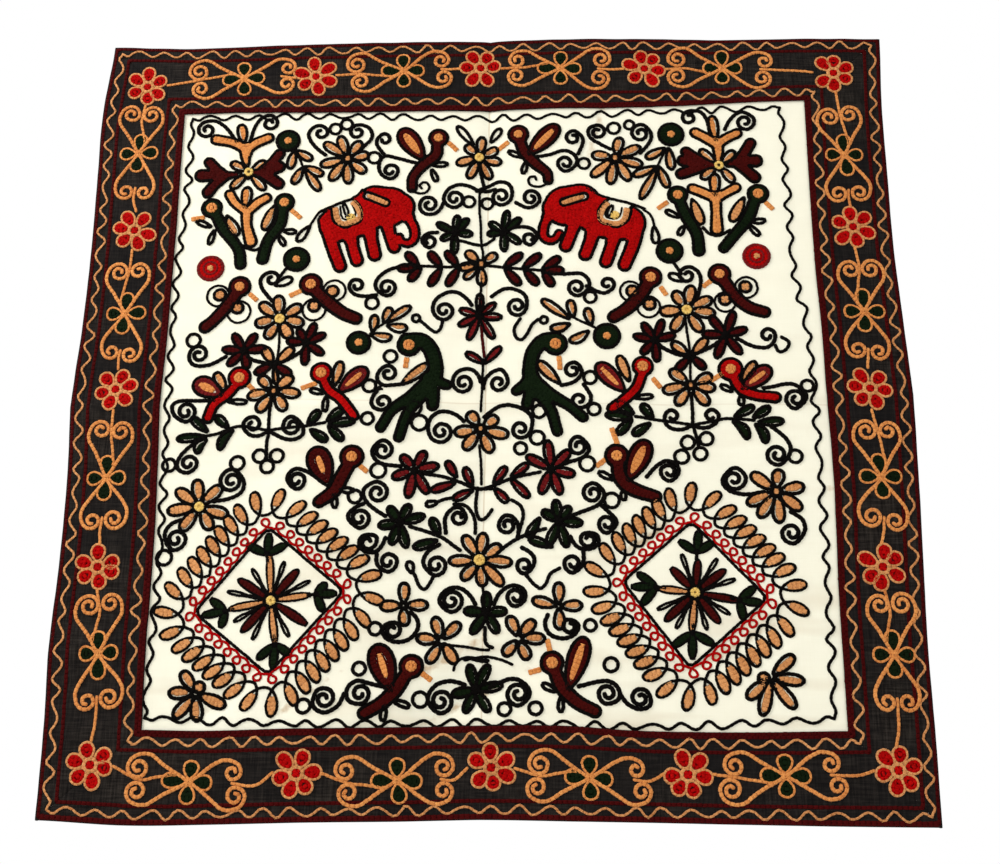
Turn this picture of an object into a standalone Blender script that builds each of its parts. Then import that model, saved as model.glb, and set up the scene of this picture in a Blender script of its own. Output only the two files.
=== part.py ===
"""Square embroidered wall hanging: a light centre panel and four dark mitred border strips.

The cloth hangs in the XZ plane, faces -Y and has +Z up. All lengths are in metres.
The origin is on the top hem, at the middle of its width.
"""

import math
from collections import namedtuple

import bmesh
import bpy

CLOTH_WIDTH = 0.910
CLOTH_HEIGHT = 0.900

PANEL_THICKNESS = 0.0012
BORDER_THICKNESS = 0.0012
HEM_THICKNESS = 0.0024
HEM_WIDTH = 0.012
HEM_SLOPE = 0.003

# the border strips lie on the panel's edge by this much, with this much air between the layers
LAP = 0.008
LAYER_GAP = 0.0008
MITRE_GAP = 0.0004

# spacing of the rows and columns of faces, and the extra ones at each side of a pressed crease
STATION_PITCH = 0.023
CREASE_STATIONS = (-0.018, -0.007, 0.0, 0.007, 0.018)
ACROSS_BORDER = (0.40, 0.66)

Spot = namedtuple("Spot", "x down")

# the cloth's four corners and those of the seam round the centre panel, clockwise from the top left
OUTER_CORNERS = (
    Spot(-CLOTH_WIDTH / 2, 0.0),
    Spot(CLOTH_WIDTH / 2, 0.0),
    Spot(CLOTH_WIDTH / 2, CLOTH_HEIGHT),
    Spot(-CLOTH_WIDTH / 2, CLOTH_HEIGHT),
)
SEAM_CORNERS = (
    Spot(-0.3635, 0.0920),
    Spot(0.3622, 0.0815),
    Spot(0.3674, 0.8065),
    Spot(-0.3530, 0.8090),
)

# how far each edge bows outward from a straight line, at every tenth of its length
Bow = namedtuple("Bow", "outer seam")
TOP_BOW = (
    Bow(0.0, 0.0),
    Bow(-0.0030, 0.0005),
    Bow(-0.0003, -0.0015),
    Bow(0.0015, -0.0024),
    Bow(0.0030, -0.0020),
    Bow(0.0034, -0.0030),
    Bow(0.0050, -0.0020),
    Bow(0.0040, -0.0030),
    Bow(0.0010, -0.0025),
    Bow(0.0012, -0.0005),
    Bow(0.0, 0.0),
)
RIGHT_BOW = (
    Bow(0.0, 0.0),
    Bow(-0.0035, -0.0005),
    Bow(-0.0033, -0.0008),
    Bow(-0.0028, -0.0003),
    Bow(0.0015, 0.0020),
    Bow(0.0055, 0.0021),
    Bow(0.0045, 0.0035),
    Bow(0.0023, 0.0026),
    Bow(0.0, 0.0005),
    Bow(0.0006, 0.0002),
    Bow(0.0, 0.0),
)
BOTTOM_BOW = (
    Bow(0.0, 0.0),
    Bow(0.0045, 0.0008),
    Bow(0.0030, -0.0012),
    Bow(0.0005, -0.0023),
    Bow(-0.0015, -0.0045),
    Bow(-0.0042, -0.0060),
    Bow(-0.0033, -0.0058),
    Bow(-0.0025, -0.0010),
    Bow(-0.0012, 0.0005),
    Bow(0.0, 0.0008),
    Bow(0.0, 0.0),
)
LEFT_BOW = (
    Bow(0.0, 0.0),
    Bow(0.0066, 0.0005),
    Bow(0.0050, 0.0005),
    Bow(0.0035, 0.0015),
    Bow(0.0045, 0.0025),
    Bow(0.0080, 0.0048),
    Bow(0.0038, 0.0028),
    Bow(0.0028, 0.0010),
    Bow(0.0045, 0.0010),
    Bow(0.0010, 0.0015),
    Bow(0.0, 0.0),
)

# a soft wave across the width, whose depth grows from the top edge to the bottom one
Wave = namedtuple("Wave", "length phase top_depth bottom_depth")
WAVES = (
    Wave(0.62, 0.9, 0.0006, 0.0042),
    Wave(0.27, 2.3, 0.0003, 0.0022),
)

# a straight pressed crease, through a place and at a slope; depth is to the back, and -depth a ridge
Crease = namedtuple("Crease", "x down degrees half_width start_depth middle_depth end_depth")
CREASES = (
    Crease(-0.004, 0.45, 90.0, 0.010, 0.0032, 0.0016, -0.0012),
    Crease(0.0, 0.452, -0.8, 0.011, -0.0026, -0.0008, -0.0024),
)

# a slack wrinkle: a soft ridge or trough of a given length, width and slope
Wrinkle = namedtuple("Wrinkle", "x down degrees length width depth")
WRINKLES = (
    Wrinkle(-0.020, 0.778, 28.0, 0.220, 0.030, 0.0034),
    Wrinkle(-0.055, 0.742, 30.0, 0.190, 0.034, -0.0030),
    Wrinkle(-0.266, 0.768, 42.0, 0.130, 0.028, 0.0028),
    Wrinkle(-0.190, 0.776, 36.0, 0.110, 0.028, 0.0018),
    Wrinkle(0.175, 0.600, 36.0, 0.160, 0.032, 0.0024),
    Wrinkle(0.256, 0.720, 28.0, 0.150, 0.032, 0.0022),
    Wrinkle(-0.415, 0.722, 15.0, 0.120, 0.026, -0.0024),
    Wrinkle(0.405, 0.560, -12.0, 0.130, 0.028, -0.0020),
    Wrinkle(0.120, 0.120, 75.0, 0.130, 0.034, 0.0016),
)

Finish = namedtuple("Finish", "color roughness")
FINISHES = {
    "ivory_cotton": Finish((0.96, 0.93, 0.80), 0.9),
    "black_cotton": Finish((0.030, 0.029, 0.030), 0.85),
}

# the four strips, from left to right or from top to bottom: the corners where each starts and ends,
# its bows, and the way out of the cloth at its side
Side = namedtuple("Side", "name start end bow out")
SIDES = (
    Side("border_top", 0, 1, TOP_BOW, Spot(0.0, -1.0)),
    Side("border_right", 1, 2, RIGHT_BOW, Spot(1.0, 0.0)),
    Side("border_bottom", 3, 2, BOTTOM_BOW, Spot(0.0, 1.0)),
    Side("border_left", 0, 3, LEFT_BOW, Spot(-1.0, 0.0)),
)


def mix(a, b, share):
    """A value between two others."""
    return a + (b - a) * share


def mix_spots(a, b, share):
    """A place between two others."""
    return Spot(mix(a.x, b.x, share), mix(a.down, b.down, share))


def bow_at(bow, line, along):
    """How far a side's outer edge or seam bows outward at a share of its length, on a smooth curve."""
    values = [getattr(row, line) for row in bow]
    place = min(max(along, 0.0), 1.0) * (len(values) - 1)
    low = min(int(place), len(values) - 2)
    before, here, after, beyond = (
        values[min(max(low + step, 0), len(values) - 1)] for step in (-1, 0, 1, 2)
    )
    t = place - low
    rise = (after - before) / 2
    fall = (beyond - here) / 2
    return (
        here * (2 * t**3 - 3 * t**2 + 1)
        + rise * (t**3 - 2 * t**2 + t)
        + after * (3 * t**2 - 2 * t**3)
        + fall * (t**3 - t**2)
    )


def crease_depth(crease, x, down):
    """Depth of a pressed crease at a place on the cloth."""
    angle = math.radians(crease.degrees)
    right, below = x - crease.x, down - crease.down
    along = right * math.cos(angle) + below * math.sin(angle)
    aside = -right * math.sin(angle) + below * math.cos(angle)
    share = min(max(along / CLOTH_HEIGHT + 0.5, 0.0), 1.0)
    if share < 0.5:
        depth = mix(crease.start_depth, crease.middle_depth, share * 2)
    else:
        depth = mix(crease.middle_depth, crease.end_depth, share * 2 - 1)
    return depth * math.exp(-abs(aside) / crease.half_width)


def wrinkle_depth(wrinkle, x, down):
    """Depth of a slack wrinkle at a place on the cloth."""
    angle = math.radians(-wrinkle.degrees)
    right, below = x - wrinkle.x, down - wrinkle.down
    along = (right * math.cos(angle) + below * math.sin(angle)) / (wrinkle.length / 2)
    aside = (-right * math.sin(angle) + below * math.cos(angle)) / (wrinkle.width / 2)
    return wrinkle.depth * math.exp(-(along**2) - aside**2)


def depth_at(x, down):
    """How far the cloth lies behind the XZ plane at a place."""
    depth = 0.0
    for wave in WAVES:
        size = mix(wave.top_depth, wave.bottom_depth, down / CLOTH_HEIGHT)
        depth += size * math.sin(2 * math.pi * x / wave.length + wave.phase)
    depth += sum(crease_depth(crease, x, down) for crease in CREASES)
    depth += sum(wrinkle_depth(wrinkle, x, down) for wrinkle in WRINKLES)
    return depth


def stations(first, last, crease_at):
    """Shares of the way between two places where points stand, closer together at a pressed crease."""
    length = last - first
    near = [crease_at - first + step for step in CREASE_STATIONS]
    places = []
    for low, high in ((0.0, near[0]), (near[-1], length)):
        count = max(1, round((high - low) / STATION_PITCH))
        places += [mix(low, high, step / count) for step in range(count + 1)]
    return [place / length for place in sorted(set(places) | set(near[1:-1]))]


def columns_and_rows():
    """The shares along the seam's width and height that the panel and the border strips have in common."""
    top_left, _, bottom_right, _ = SEAM_CORNERS
    upright, level = CREASES
    return (
        stations(top_left.x, bottom_right.x, upright.x),
        stations(top_left.down, bottom_right.down, level.down),
    )


def grid_of(columns, rows):
    """An open grid of faces, with the place in it of each of its points.

    Args:
        columns: how many points it has along
        rows: how many points it has across
    Returns:
        the bmesh, and a list of (point, column, row)
    """
    bm = bmesh.new()
    bmesh.ops.create_grid(bm, x_segments=columns - 1, y_segments=rows - 1, size=0.5)
    spots = [
        (point, round((point.co.x + 0.5) * (columns - 1)), round((point.co.y + 0.5) * (rows - 1)))
        for point in bm.verts
    ]
    return bm, spots


def material(name):
    """The plain finish of a kind of cloth."""
    made = bpy.data.materials.get(name)
    if made is None:
        made = bpy.data.materials.new(name)
        made.use_nodes = True
        shader = made.node_tree.nodes["Principled BSDF"]
        finish = FINISHES[name]
        shader.inputs["Base Color"].default_value = (*finish.color, 1.0)
        shader.inputs["Roughness"].default_value = finish.roughness
        shader.inputs["Metallic"].default_value = 0.0
    return made


def sheet_object(name, bm, finish, collection, thickness, thin_share=None, thick_rows=None):
    """A sheet that keeps its front face and takes its thickness to the back.

    Args:
        name: name of the object
        bm: the open front face
        finish: name of its material
        collection: where the object goes
        thickness: thickness at the hem, or all over where there is none
        thin_share: thickness away from the hem, as a share of the hem's
        thick_rows: the indices of the points on the hem
    """
    bmesh.ops.recalc_face_normals(bm, faces=bm.faces)
    if sum(face.normal.y for face in bm.faces) > 0:
        bmesh.ops.reverse_faces(bm, faces=bm.faces)
    mesh = bpy.data.meshes.new(name)
    bm.to_mesh(mesh)
    bm.free()
    mesh.shade_smooth()
    mesh.materials.append(material(finish))
    sheet = bpy.data.objects.new(name, mesh)
    collection.objects.link(sheet)
    solid = sheet.modifiers.new("Thickness", "SOLIDIFY")
    solid.thickness = thickness
    solid.offset = -1.0
    if thick_rows:
        hem = sheet.vertex_groups.new(name="hem")
        hem.add(thick_rows, 1.0, "REPLACE")
        solid.vertex_group = hem.name
        solid.thickness_vertex_group = thin_share


def panel(collection):
    """The light centre panel, whose edge runs in behind the border strips."""
    top_left, top_right, bottom_right, bottom_left = SEAM_CORNERS
    width = top_right.x - top_left.x
    height = bottom_left.down - top_left.down
    columns, rows = columns_and_rows()
    columns = [-LAP / width, *columns, 1 + LAP / width]
    rows = [-LAP / height, *rows, 1 + LAP / height]
    bm, spots = grid_of(len(columns), len(rows))
    for point, column, row in spots:
        s, t = columns[column], rows[row]
        flat = mix_spots(mix_spots(top_left, top_right, s), mix_spots(bottom_left, bottom_right, s), t)
        x = flat.x + mix(-bow_at(LEFT_BOW, "seam", t), bow_at(RIGHT_BOW, "seam", t), s)
        down = flat.down + mix(-bow_at(TOP_BOW, "seam", s), bow_at(BOTTOM_BOW, "seam", s), t)
        point.co = (x, depth_at(x, down), -down)
    sheet_object("centre_panel", bm, "ivory_cotton", collection, PANEL_THICKNESS)


def border_strip(side, collection):
    """One dark border strip, with its turned hem outside and mitred ends."""
    horizontal = side.out.x == 0.0
    seam_start, seam_end = SEAM_CORNERS[side.start], SEAM_CORNERS[side.end]
    outer_start, outer_end = OUTER_CORNERS[side.start], OUTER_CORNERS[side.end]
    columns = columns_and_rows()[0 if horizontal else 1]
    border = abs(seam_start.down - outer_start.down)
    hem = [0.0, HEM_WIDTH / border, (HEM_WIDTH + HEM_SLOPE) / border]
    across = [*hem, *ACROSS_BORDER, 1 - LAP / border, 1.0]
    front = LAYER_GAP + BORDER_THICKNESS
    trim = MITRE_GAP / math.sqrt(2)
    bm, spots = grid_of(len(columns), len(across))
    hem_points = []
    for point, column, row in spots:
        s, t = columns[column], across[row]
        start = mix_spots(outer_start, seam_start, t)
        end = mix_spots(outer_end, seam_end, t)
        flat = mix_spots(start, end, s)
        inward = trim * (1 - 2 * s)
        bow = mix(bow_at(side.bow, "outer", s), bow_at(side.bow, "seam", s), t)
        x = flat.x + side.out.x * bow + (inward if horizontal else 0.0)
        down = flat.down + side.out.down * bow + (0.0 if horizontal else inward)
        point.co = (x, depth_at(x, down) - front, -down)
        if row < 2:
            hem_points.append(point.index)
    thin_share = BORDER_THICKNESS / HEM_THICKNESS
    sheet_object(side.name, bm, "black_cotton", collection, HEM_THICKNESS, thin_share, hem_points)


def main():
    """Build the wall hanging."""
    for old in list(bpy.data.objects):
        bpy.data.objects.remove(old)
    collection = bpy.data.collections.new("embroidered_wall_hanging")
    bpy.context.scene.collection.children.link(collection)
    panel(collection)
    for side in SIDES:
        border_strip(side, collection)


main()
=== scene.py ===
"""Looks of a square embroidered wall hanging: its cotton sheets, and the chain stitch worked on them.

Lengths are in metres, apart from the embroidery's chart, which is in millimetres: x from the
cloth's centre line and down from its top hem. The cloth hangs with +Z up and its face looks to -Y.
"""

from __future__ import annotations

import logging
import math
from collections.abc import Iterator
from dataclasses import dataclass
from enum import Enum
from typing import ClassVar, NamedTuple

import bmesh
import bpy
import numpy as np
from mathutils import Matrix, Vector

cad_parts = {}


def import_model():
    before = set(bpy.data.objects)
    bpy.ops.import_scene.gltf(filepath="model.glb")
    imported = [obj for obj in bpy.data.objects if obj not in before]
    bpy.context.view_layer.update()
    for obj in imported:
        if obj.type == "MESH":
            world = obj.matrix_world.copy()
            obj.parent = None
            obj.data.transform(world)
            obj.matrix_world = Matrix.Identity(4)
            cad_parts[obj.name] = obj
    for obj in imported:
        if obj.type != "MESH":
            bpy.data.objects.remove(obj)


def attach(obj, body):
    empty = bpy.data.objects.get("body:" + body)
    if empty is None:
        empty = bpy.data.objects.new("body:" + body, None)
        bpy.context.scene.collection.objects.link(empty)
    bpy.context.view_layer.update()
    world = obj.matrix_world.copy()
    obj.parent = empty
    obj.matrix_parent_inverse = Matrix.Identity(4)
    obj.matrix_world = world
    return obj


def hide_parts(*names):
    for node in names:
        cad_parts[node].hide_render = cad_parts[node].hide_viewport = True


LOG = logging.getLogger("wall_hanging")
MM = 0.001
FRAME_WIDTH = 1000
# more rows than any filling has
ALL_ROWS = 99
Colour = tuple[float, float, float]


class Wave(NamedTuple):
    """A soft wave across the width that grows from the top edge to the bottom one."""

    length: float
    phase: float
    top_depth: float
    bottom_depth: float


class Crease(NamedTuple):
    """A straight pressed crease; depth is to the back, and a ridge has a negative one."""

    x: float
    down: float
    degrees: float
    half_width: float
    start_depth: float
    middle_depth: float
    end_depth: float


class Wrinkle(NamedTuple):
    """A slack wrinkle: a soft ridge or trough of a given length, width and slope."""

    x: float
    down: float
    degrees: float
    length: float
    width: float
    depth: float


class Bow(NamedTuple):
    """How far a side's outer edge and its seam bow outward from a straight line."""

    outer: float
    seam: float


class Spot(NamedTuple):
    """A place on the flat cloth."""

    x: float
    down: float


def mix(a: float, b: float, share: float) -> float:
    """A value between two others."""
    return a + (b - a) * share


def mix_spots(a: Spot, b: Spot, share: float) -> Spot:
    """A place between two others."""
    return Spot(mix(a.x, b.x, share), mix(a.down, b.down, share))


def along_and_aside(right: np.ndarray, below: np.ndarray, degrees: float) -> tuple[np.ndarray, np.ndarray]:
    """Distances along a sloping line and aside from it.

    Args:
        right: distances to the right of a place on the line
        below: distances below it
        degrees: the line's slope
    Returns:
        the distances along it, and those aside
    """
    angle = math.radians(degrees)
    along = right * math.cos(angle) + below * math.sin(angle)
    return along, below * math.cos(angle) - right * math.sin(angle)


@dataclass(frozen=True)
class HungCloth:
    """The shape in which the whole cloth hangs, and how its cut edges run."""

    width: float = 0.910
    height: float = 0.900
    outer_corners: tuple[Spot, ...] = (
        Spot(-0.455, 0.0), Spot(0.455, 0.0), Spot(0.455, 0.900), Spot(-0.455, 0.900),
    )
    seam_corners: tuple[Spot, ...] = (
        Spot(-0.3635, 0.0920), Spot(0.3622, 0.0815), Spot(0.3674, 0.8065), Spot(-0.3530, 0.8090),
    )
    top_bow: tuple[Bow, ...] = (
        Bow(0.0, 0.0), Bow(-0.0030, 0.0005), Bow(-0.0003, -0.0015), Bow(0.0015, -0.0024),
        Bow(0.0030, -0.0020), Bow(0.0034, -0.0030), Bow(0.0050, -0.0020), Bow(0.0040, -0.0030),
        Bow(0.0010, -0.0025), Bow(0.0012, -0.0005), Bow(0.0, 0.0),
    )
    right_bow: tuple[Bow, ...] = (
        Bow(0.0, 0.0), Bow(-0.0035, -0.0005), Bow(-0.0033, -0.0008), Bow(-0.0028, -0.0003),
        Bow(0.0015, 0.0020), Bow(0.0055, 0.0021), Bow(0.0045, 0.0035), Bow(0.0023, 0.0026),
        Bow(0.0, 0.0005), Bow(0.0006, 0.0002), Bow(0.0, 0.0),
    )
    bottom_bow: tuple[Bow, ...] = (
        Bow(0.0, 0.0), Bow(0.0045, 0.0008), Bow(0.0030, -0.0012), Bow(0.0005, -0.0023),
        Bow(-0.0015, -0.0045), Bow(-0.0042, -0.0060), Bow(-0.0033, -0.0058), Bow(-0.0025, -0.0010),
        Bow(-0.0012, 0.0005), Bow(0.0, 0.0008), Bow(0.0, 0.0),
    )
    left_bow: tuple[Bow, ...] = (
        Bow(0.0, 0.0), Bow(0.0066, 0.0005), Bow(0.0050, 0.0005), Bow(0.0035, 0.0015),
        Bow(0.0045, 0.0025), Bow(0.0080, 0.0048), Bow(0.0038, 0.0028), Bow(0.0028, 0.0010),
        Bow(0.0045, 0.0010), Bow(0.0010, 0.0015), Bow(0.0, 0.0),
    )
    waves: tuple[Wave, ...] = (
        Wave(0.62, 0.9, 0.0006, 0.0042),
        Wave(0.27, 2.3, 0.0003, 0.0022),
    )
    upright_crease: Crease = Crease(-0.004, 0.45, 90.0, 0.010, 0.0032, 0.0016, -0.0012)
    level_crease: Crease = Crease(0.0, 0.452, -0.8, 0.011, -0.0026, -0.0008, -0.0024)
    wrinkles: tuple[Wrinkle, ...] = (
        Wrinkle(-0.020, 0.778, 28.0, 0.220, 0.030, 0.0034),
        Wrinkle(-0.055, 0.742, 30.0, 0.190, 0.034, -0.0030),
        Wrinkle(-0.266, 0.768, 42.0, 0.130, 0.028, 0.0028),
        Wrinkle(-0.190, 0.776, 36.0, 0.110, 0.028, 0.0018),
        Wrinkle(0.175, 0.600, 36.0, 0.160, 0.032, 0.0024),
        Wrinkle(0.256, 0.720, 28.0, 0.150, 0.032, 0.0022),
        Wrinkle(-0.415, 0.722, 15.0, 0.120, 0.026, -0.0024),
        Wrinkle(0.405, 0.560, -12.0, 0.130, 0.028, -0.0020),
        Wrinkle(0.120, 0.120, 75.0, 0.130, 0.034, 0.0016),
    )
    # fine puckers that the stitching draws up: length of the ripple, its slope, and its depth
    puckers: tuple[tuple[float, float, float], ...] = (
        (0.046, 24.0, 0.00022),
        (0.037, 108.0, 0.00020),
        (0.029, 64.0, 0.00014),
        (0.061, 151.0, 0.00024),
    )
    pucker_spread: float = 2.3

    def crease_depth(self, crease: Crease, x: np.ndarray, down: np.ndarray) -> np.ndarray:
        """Depth of a pressed crease.

        Args:
            crease: the crease
            x: places across the cloth
            down: places down the cloth
        Returns:
            the depth at each place
        """
        along, aside = along_and_aside(x - crease.x, down - crease.down, crease.degrees)
        share = np.clip(along / self.height + 0.5, 0.0, 1.0)
        depths = (crease.start_depth, crease.middle_depth, crease.end_depth)
        return np.interp(share, (0.0, 0.5, 1.0), depths) * np.exp(-np.abs(aside) / crease.half_width)

    def wrinkle_depth(self, wrinkle: Wrinkle, x: np.ndarray, down: np.ndarray) -> np.ndarray:
        """Depth of a slack wrinkle.

        Args:
            wrinkle: the wrinkle
            x: places across the cloth
            down: places down the cloth
        Returns:
            the depth at each place
        """
        along, aside = along_and_aside(x - wrinkle.x, down - wrinkle.down, -wrinkle.degrees)
        along, aside = along / (wrinkle.length / 2), aside / (wrinkle.width / 2)
        return wrinkle.depth * np.exp(-(along**2) - aside**2)

    def depth(self, x: np.ndarray, down: np.ndarray) -> np.ndarray:
        """How far the cloth lies behind the XZ plane.

        Args:
            x: places across the cloth
            down: places down the cloth
        Returns:
            the depth at each place
        """
        depth = np.zeros_like(x)
        for wave in self.waves:
            size = wave.top_depth + (wave.bottom_depth - wave.top_depth) * down / self.height
            depth += size * np.sin(2 * math.pi * x / wave.length + wave.phase)
        depth += self.crease_depth(self.upright_crease, x, down)
        depth += self.crease_depth(self.level_crease, x, down)
        for wrinkle in self.wrinkles:
            depth += self.wrinkle_depth(wrinkle, x, down)
        for length, degrees, size in self.puckers:
            along, aside = along_and_aside(x, down, degrees)
            ripple = size * np.sin(2 * math.pi * along / length)
            depth += ripple * np.cos(2 * math.pi * aside / (self.pucker_spread * length))
        return depth

    @staticmethod
    def bow_at(bow: tuple[Bow, ...], line: str, along: float) -> float:
        """How far a side bows outward, on a smooth curve.

        Args:
            bow: the side's bows at every tenth of its length
            line: outer or seam
            along: share of the side's length
        Returns:
            the distance outward
        """
        values = [getattr(row, line) for row in bow]
        place = min(max(along, 0.0), 1.0) * (len(values) - 1)
        low = min(int(place), len(values) - 2)
        before, here, after, beyond = (
            values[min(max(low + step, 0), len(values) - 1)] for step in (-1, 0, 1, 2)
        )
        t = place - low
        rise, fall = (after - before) / 2, (beyond - here) / 2
        return (
            here * (2 * t**3 - 3 * t**2 + 1)
            + rise * (t**3 - 2 * t**2 + t)
            + after * (3 * t**2 - 2 * t**3)
            + fall * (t**3 - t**2)
        )

    def on_panel(self, s: float, t: float) -> Spot:
        """A place on the panel at shares of the seam's width and height.

        Args:
            s: share of the seam's width
            t: share of its height
        Returns:
            the place on the flat cloth
        """
        top_left, top_right, bottom_right, bottom_left = self.seam_corners
        flat = mix_spots(mix_spots(top_left, top_right, s), mix_spots(bottom_left, bottom_right, s), t)
        across = mix(-self.bow_at(self.left_bow, "seam", t), self.bow_at(self.right_bow, "seam", t), s)
        drop = mix(-self.bow_at(self.top_bow, "seam", s), self.bow_at(self.bottom_bow, "seam", s), t)
        return Spot(flat.x + across, flat.down + drop)

    def on_side(self, side: Side, s: float, t: float) -> Spot:
        """A place on a border side.

        Args:
            side: which side
            s: share along it, from its left or top end
            t: share across it, from the outer edge to the seam
        Returns:
            the place on the flat cloth
        """
        start = mix_spots(self.outer_corners[side.start], self.seam_corners[side.start], t)
        end = mix_spots(self.outer_corners[side.end], self.seam_corners[side.end], t)
        flat = mix_spots(start, end, s)
        bows = getattr(self, side.bow)
        bow = mix(self.bow_at(bows, "outer", s), self.bow_at(bows, "seam", s), t)
        return Spot(flat.x + side.out.x * bow, flat.down + side.out.down * bow)


@dataclass(frozen=True)
class Side:
    """One side of the border, from left to right or from top to bottom, and its way out of the cloth."""

    name: str
    start: int
    end: int
    bow: str
    out: Spot

    @property
    def level(self) -> bool:
        """Whether it runs across the cloth."""
        return self.out.x == 0.0


SIDES = (
    Side("top", 0, 1, "top_bow", Spot(0.0, -1.0)),
    Side("right", 1, 2, "right_bow", Spot(1.0, 0.0)),
    Side("bottom", 3, 2, "bottom_bow", Spot(0.0, 1.0)),
    Side("left", 0, 3, "left_bow", Spot(-1.0, 0.0)),
)


class Socket:
    """A node's output, so that shader maths can be written as an expression."""

    def __init__(self, tree: bpy.types.NodeTree, output: bpy.types.NodeSocket) -> None:
        """Wraps one output of a node tree."""
        self.tree = tree
        self.output = output

    def maths(self, operation: str, left: Socket | float, right: Socket | float) -> Socket:
        """One Math node.

        Args:
            operation: its operation
            left: its first value
            right: its second value
        Returns:
            its output
        """
        node = self.tree.nodes.new("ShaderNodeMath")
        node.operation = operation
        for slot, value in zip(node.inputs, (left, right)):
            give(self.tree, slot, value)
        return Socket(self.tree, node.outputs[0])

    def __add__(self, other: Socket | float) -> Socket:
        """Sum."""
        return self.maths("ADD", self, other)

    def __radd__(self, other: float) -> Socket:
        """Sum with a number first."""
        return self.maths("ADD", other, self)

    def __sub__(self, other: Socket | float) -> Socket:
        """Difference."""
        return self.maths("SUBTRACT", self, other)

    def __rsub__(self, other: float) -> Socket:
        """Difference from a number."""
        return self.maths("SUBTRACT", other, self)

    def __mul__(self, other: Socket | float) -> Socket:
        """Product."""
        return self.maths("MULTIPLY", self, other)

    def __rmul__(self, other: float) -> Socket:
        """Product with a number first."""
        return self.maths("MULTIPLY", other, self)

    def __truediv__(self, other: Socket | float) -> Socket:
        """Quotient."""
        return self.maths("DIVIDE", self, other)


def give(tree: bpy.types.NodeTree, slot: bpy.types.NodeSocket, value: object) -> None:
    """Gives an input a value, or a link where the value is a Socket.

    Args:
        tree: the node tree
        slot: the input
        value: its value
    """
    if isinstance(value, Socket):
        tree.links.new(value.output, slot)
    else:
        slot.default_value = value


class Finish:
    """A material under construction: its node tree and its shader."""

    def __init__(self, name: str) -> None:
        """Starts a material with a Principled shader.

        Args:
            name: the material's name
        """
        self.material = bpy.data.materials.new(name)
        self.material.use_nodes = True
        self.tree = self.material.node_tree
        self.shader = self.tree.nodes["Principled BSDF"]

    def node(self, kind: str, output: str = "", settings: dict | None = None, **values: object) -> Socket:
        """Any node of the tree.

        Args:
            kind: the node's type
            output: which output is wanted, or the first one
            settings: the node's own settings, set before its sockets; a ramp's stops go as "stops"
            values: socket names, with _ for a space, and the value or link of each
        Returns:
            the wanted output
        """
        made = self.tree.nodes.new(kind)
        for key, value in (settings or {}).items():
            if key == "stops":
                self.set_stops(made, value)
            else:
                setattr(made, key, value)
        for key, value in values.items():
            give(self.tree, self.slot_of(made, key.replace("_", " ")), value)
        return Socket(self.tree, made.outputs[output] if output else made.outputs[0])

    @staticmethod
    def slot_of(node: bpy.types.Node, name: str) -> bpy.types.NodeSocket:
        """The enabled input with a name, as a Mix node has several of one name."""
        return next(slot for slot in node.inputs if slot.name == name and slot.enabled)

    @staticmethod
    def set_stops(node: bpy.types.Node, stops: list[tuple[float, float]]) -> None:
        """Gives a ramp its grey stops, as places and values.

        Args:
            node: the ramp's node
            stops: each stop's place and value
        """
        ramp = node.color_ramp
        while len(ramp.elements) < len(stops):
            ramp.elements.new(0.5)
        for element, (place, value) in zip(ramp.elements, stops):
            element.position = place
            element.color = (value, value, value, 1.0)

    def coordinates(self) -> Socket:
        """The object's own coordinates, in metres."""
        return self.node("ShaderNodeTexCoord", "Object")

    def noise(self, place: Socket, scale: float, detail: float = 2.0, roughness: float = 0.5) -> Socket:
        """Soft noise.

        Args:
            place: where it is read
            scale: bumps per metre
            detail: how many finer layers it has
            roughness: how strong the finer layers are
        Returns:
            a value of about 0 to 1
        """
        return self.node(
            "ShaderNodeTexNoise", "Fac", Vector=place, Scale=scale, Detail=detail, Roughness=roughness
        )

    def drawn_out(self, place: Socket, scale: tuple[float, float, float], detail: float) -> Socket:
        """Noise with its own number of bumps per metre each way."""
        return self.noise(self.node("ShaderNodeMapping", Vector=place, Scale=scale), 1.0, detail)

    def blend(self, share: Socket, first: Socket | Colour, second: Socket | Colour) -> Socket:
        """A colour between two others.

        Args:
            share: how much of the second shows
            first: a colour, or a socket that carries one
            second: the other one
        Returns:
            the mixed colour
        """
        node = self.tree.nodes.new("ShaderNodeMix")
        node.data_type = "RGBA"
        give(self.tree, node.inputs["Factor"], share)
        for slot, value in ((node.inputs[6], first), (node.inputs[7], second)):
            give(self.tree, slot, value if isinstance(value, Socket) else (*value, 1.0))
        return Socket(self.tree, node.outputs[2])

    def bump(self, height: Socket, distance: float, strength: float = 1.0) -> None:
        """Raises the surface by a pattern.

        Args:
            height: the pattern, from 0 to 1
            distance: the relief's height in metres
            strength: how much of it shows
        """
        relief = self.node("ShaderNodeBump", Height=height, Distance=distance, Strength=strength)
        self.tree.links.new(relief.output, self.shader.inputs["Normal"])

    def wire(self, name: str, value: Socket | float) -> None:
        """Gives one of the shader's sockets a value or a link."""
        give(self.tree, self.shader.inputs[name], value)


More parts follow.
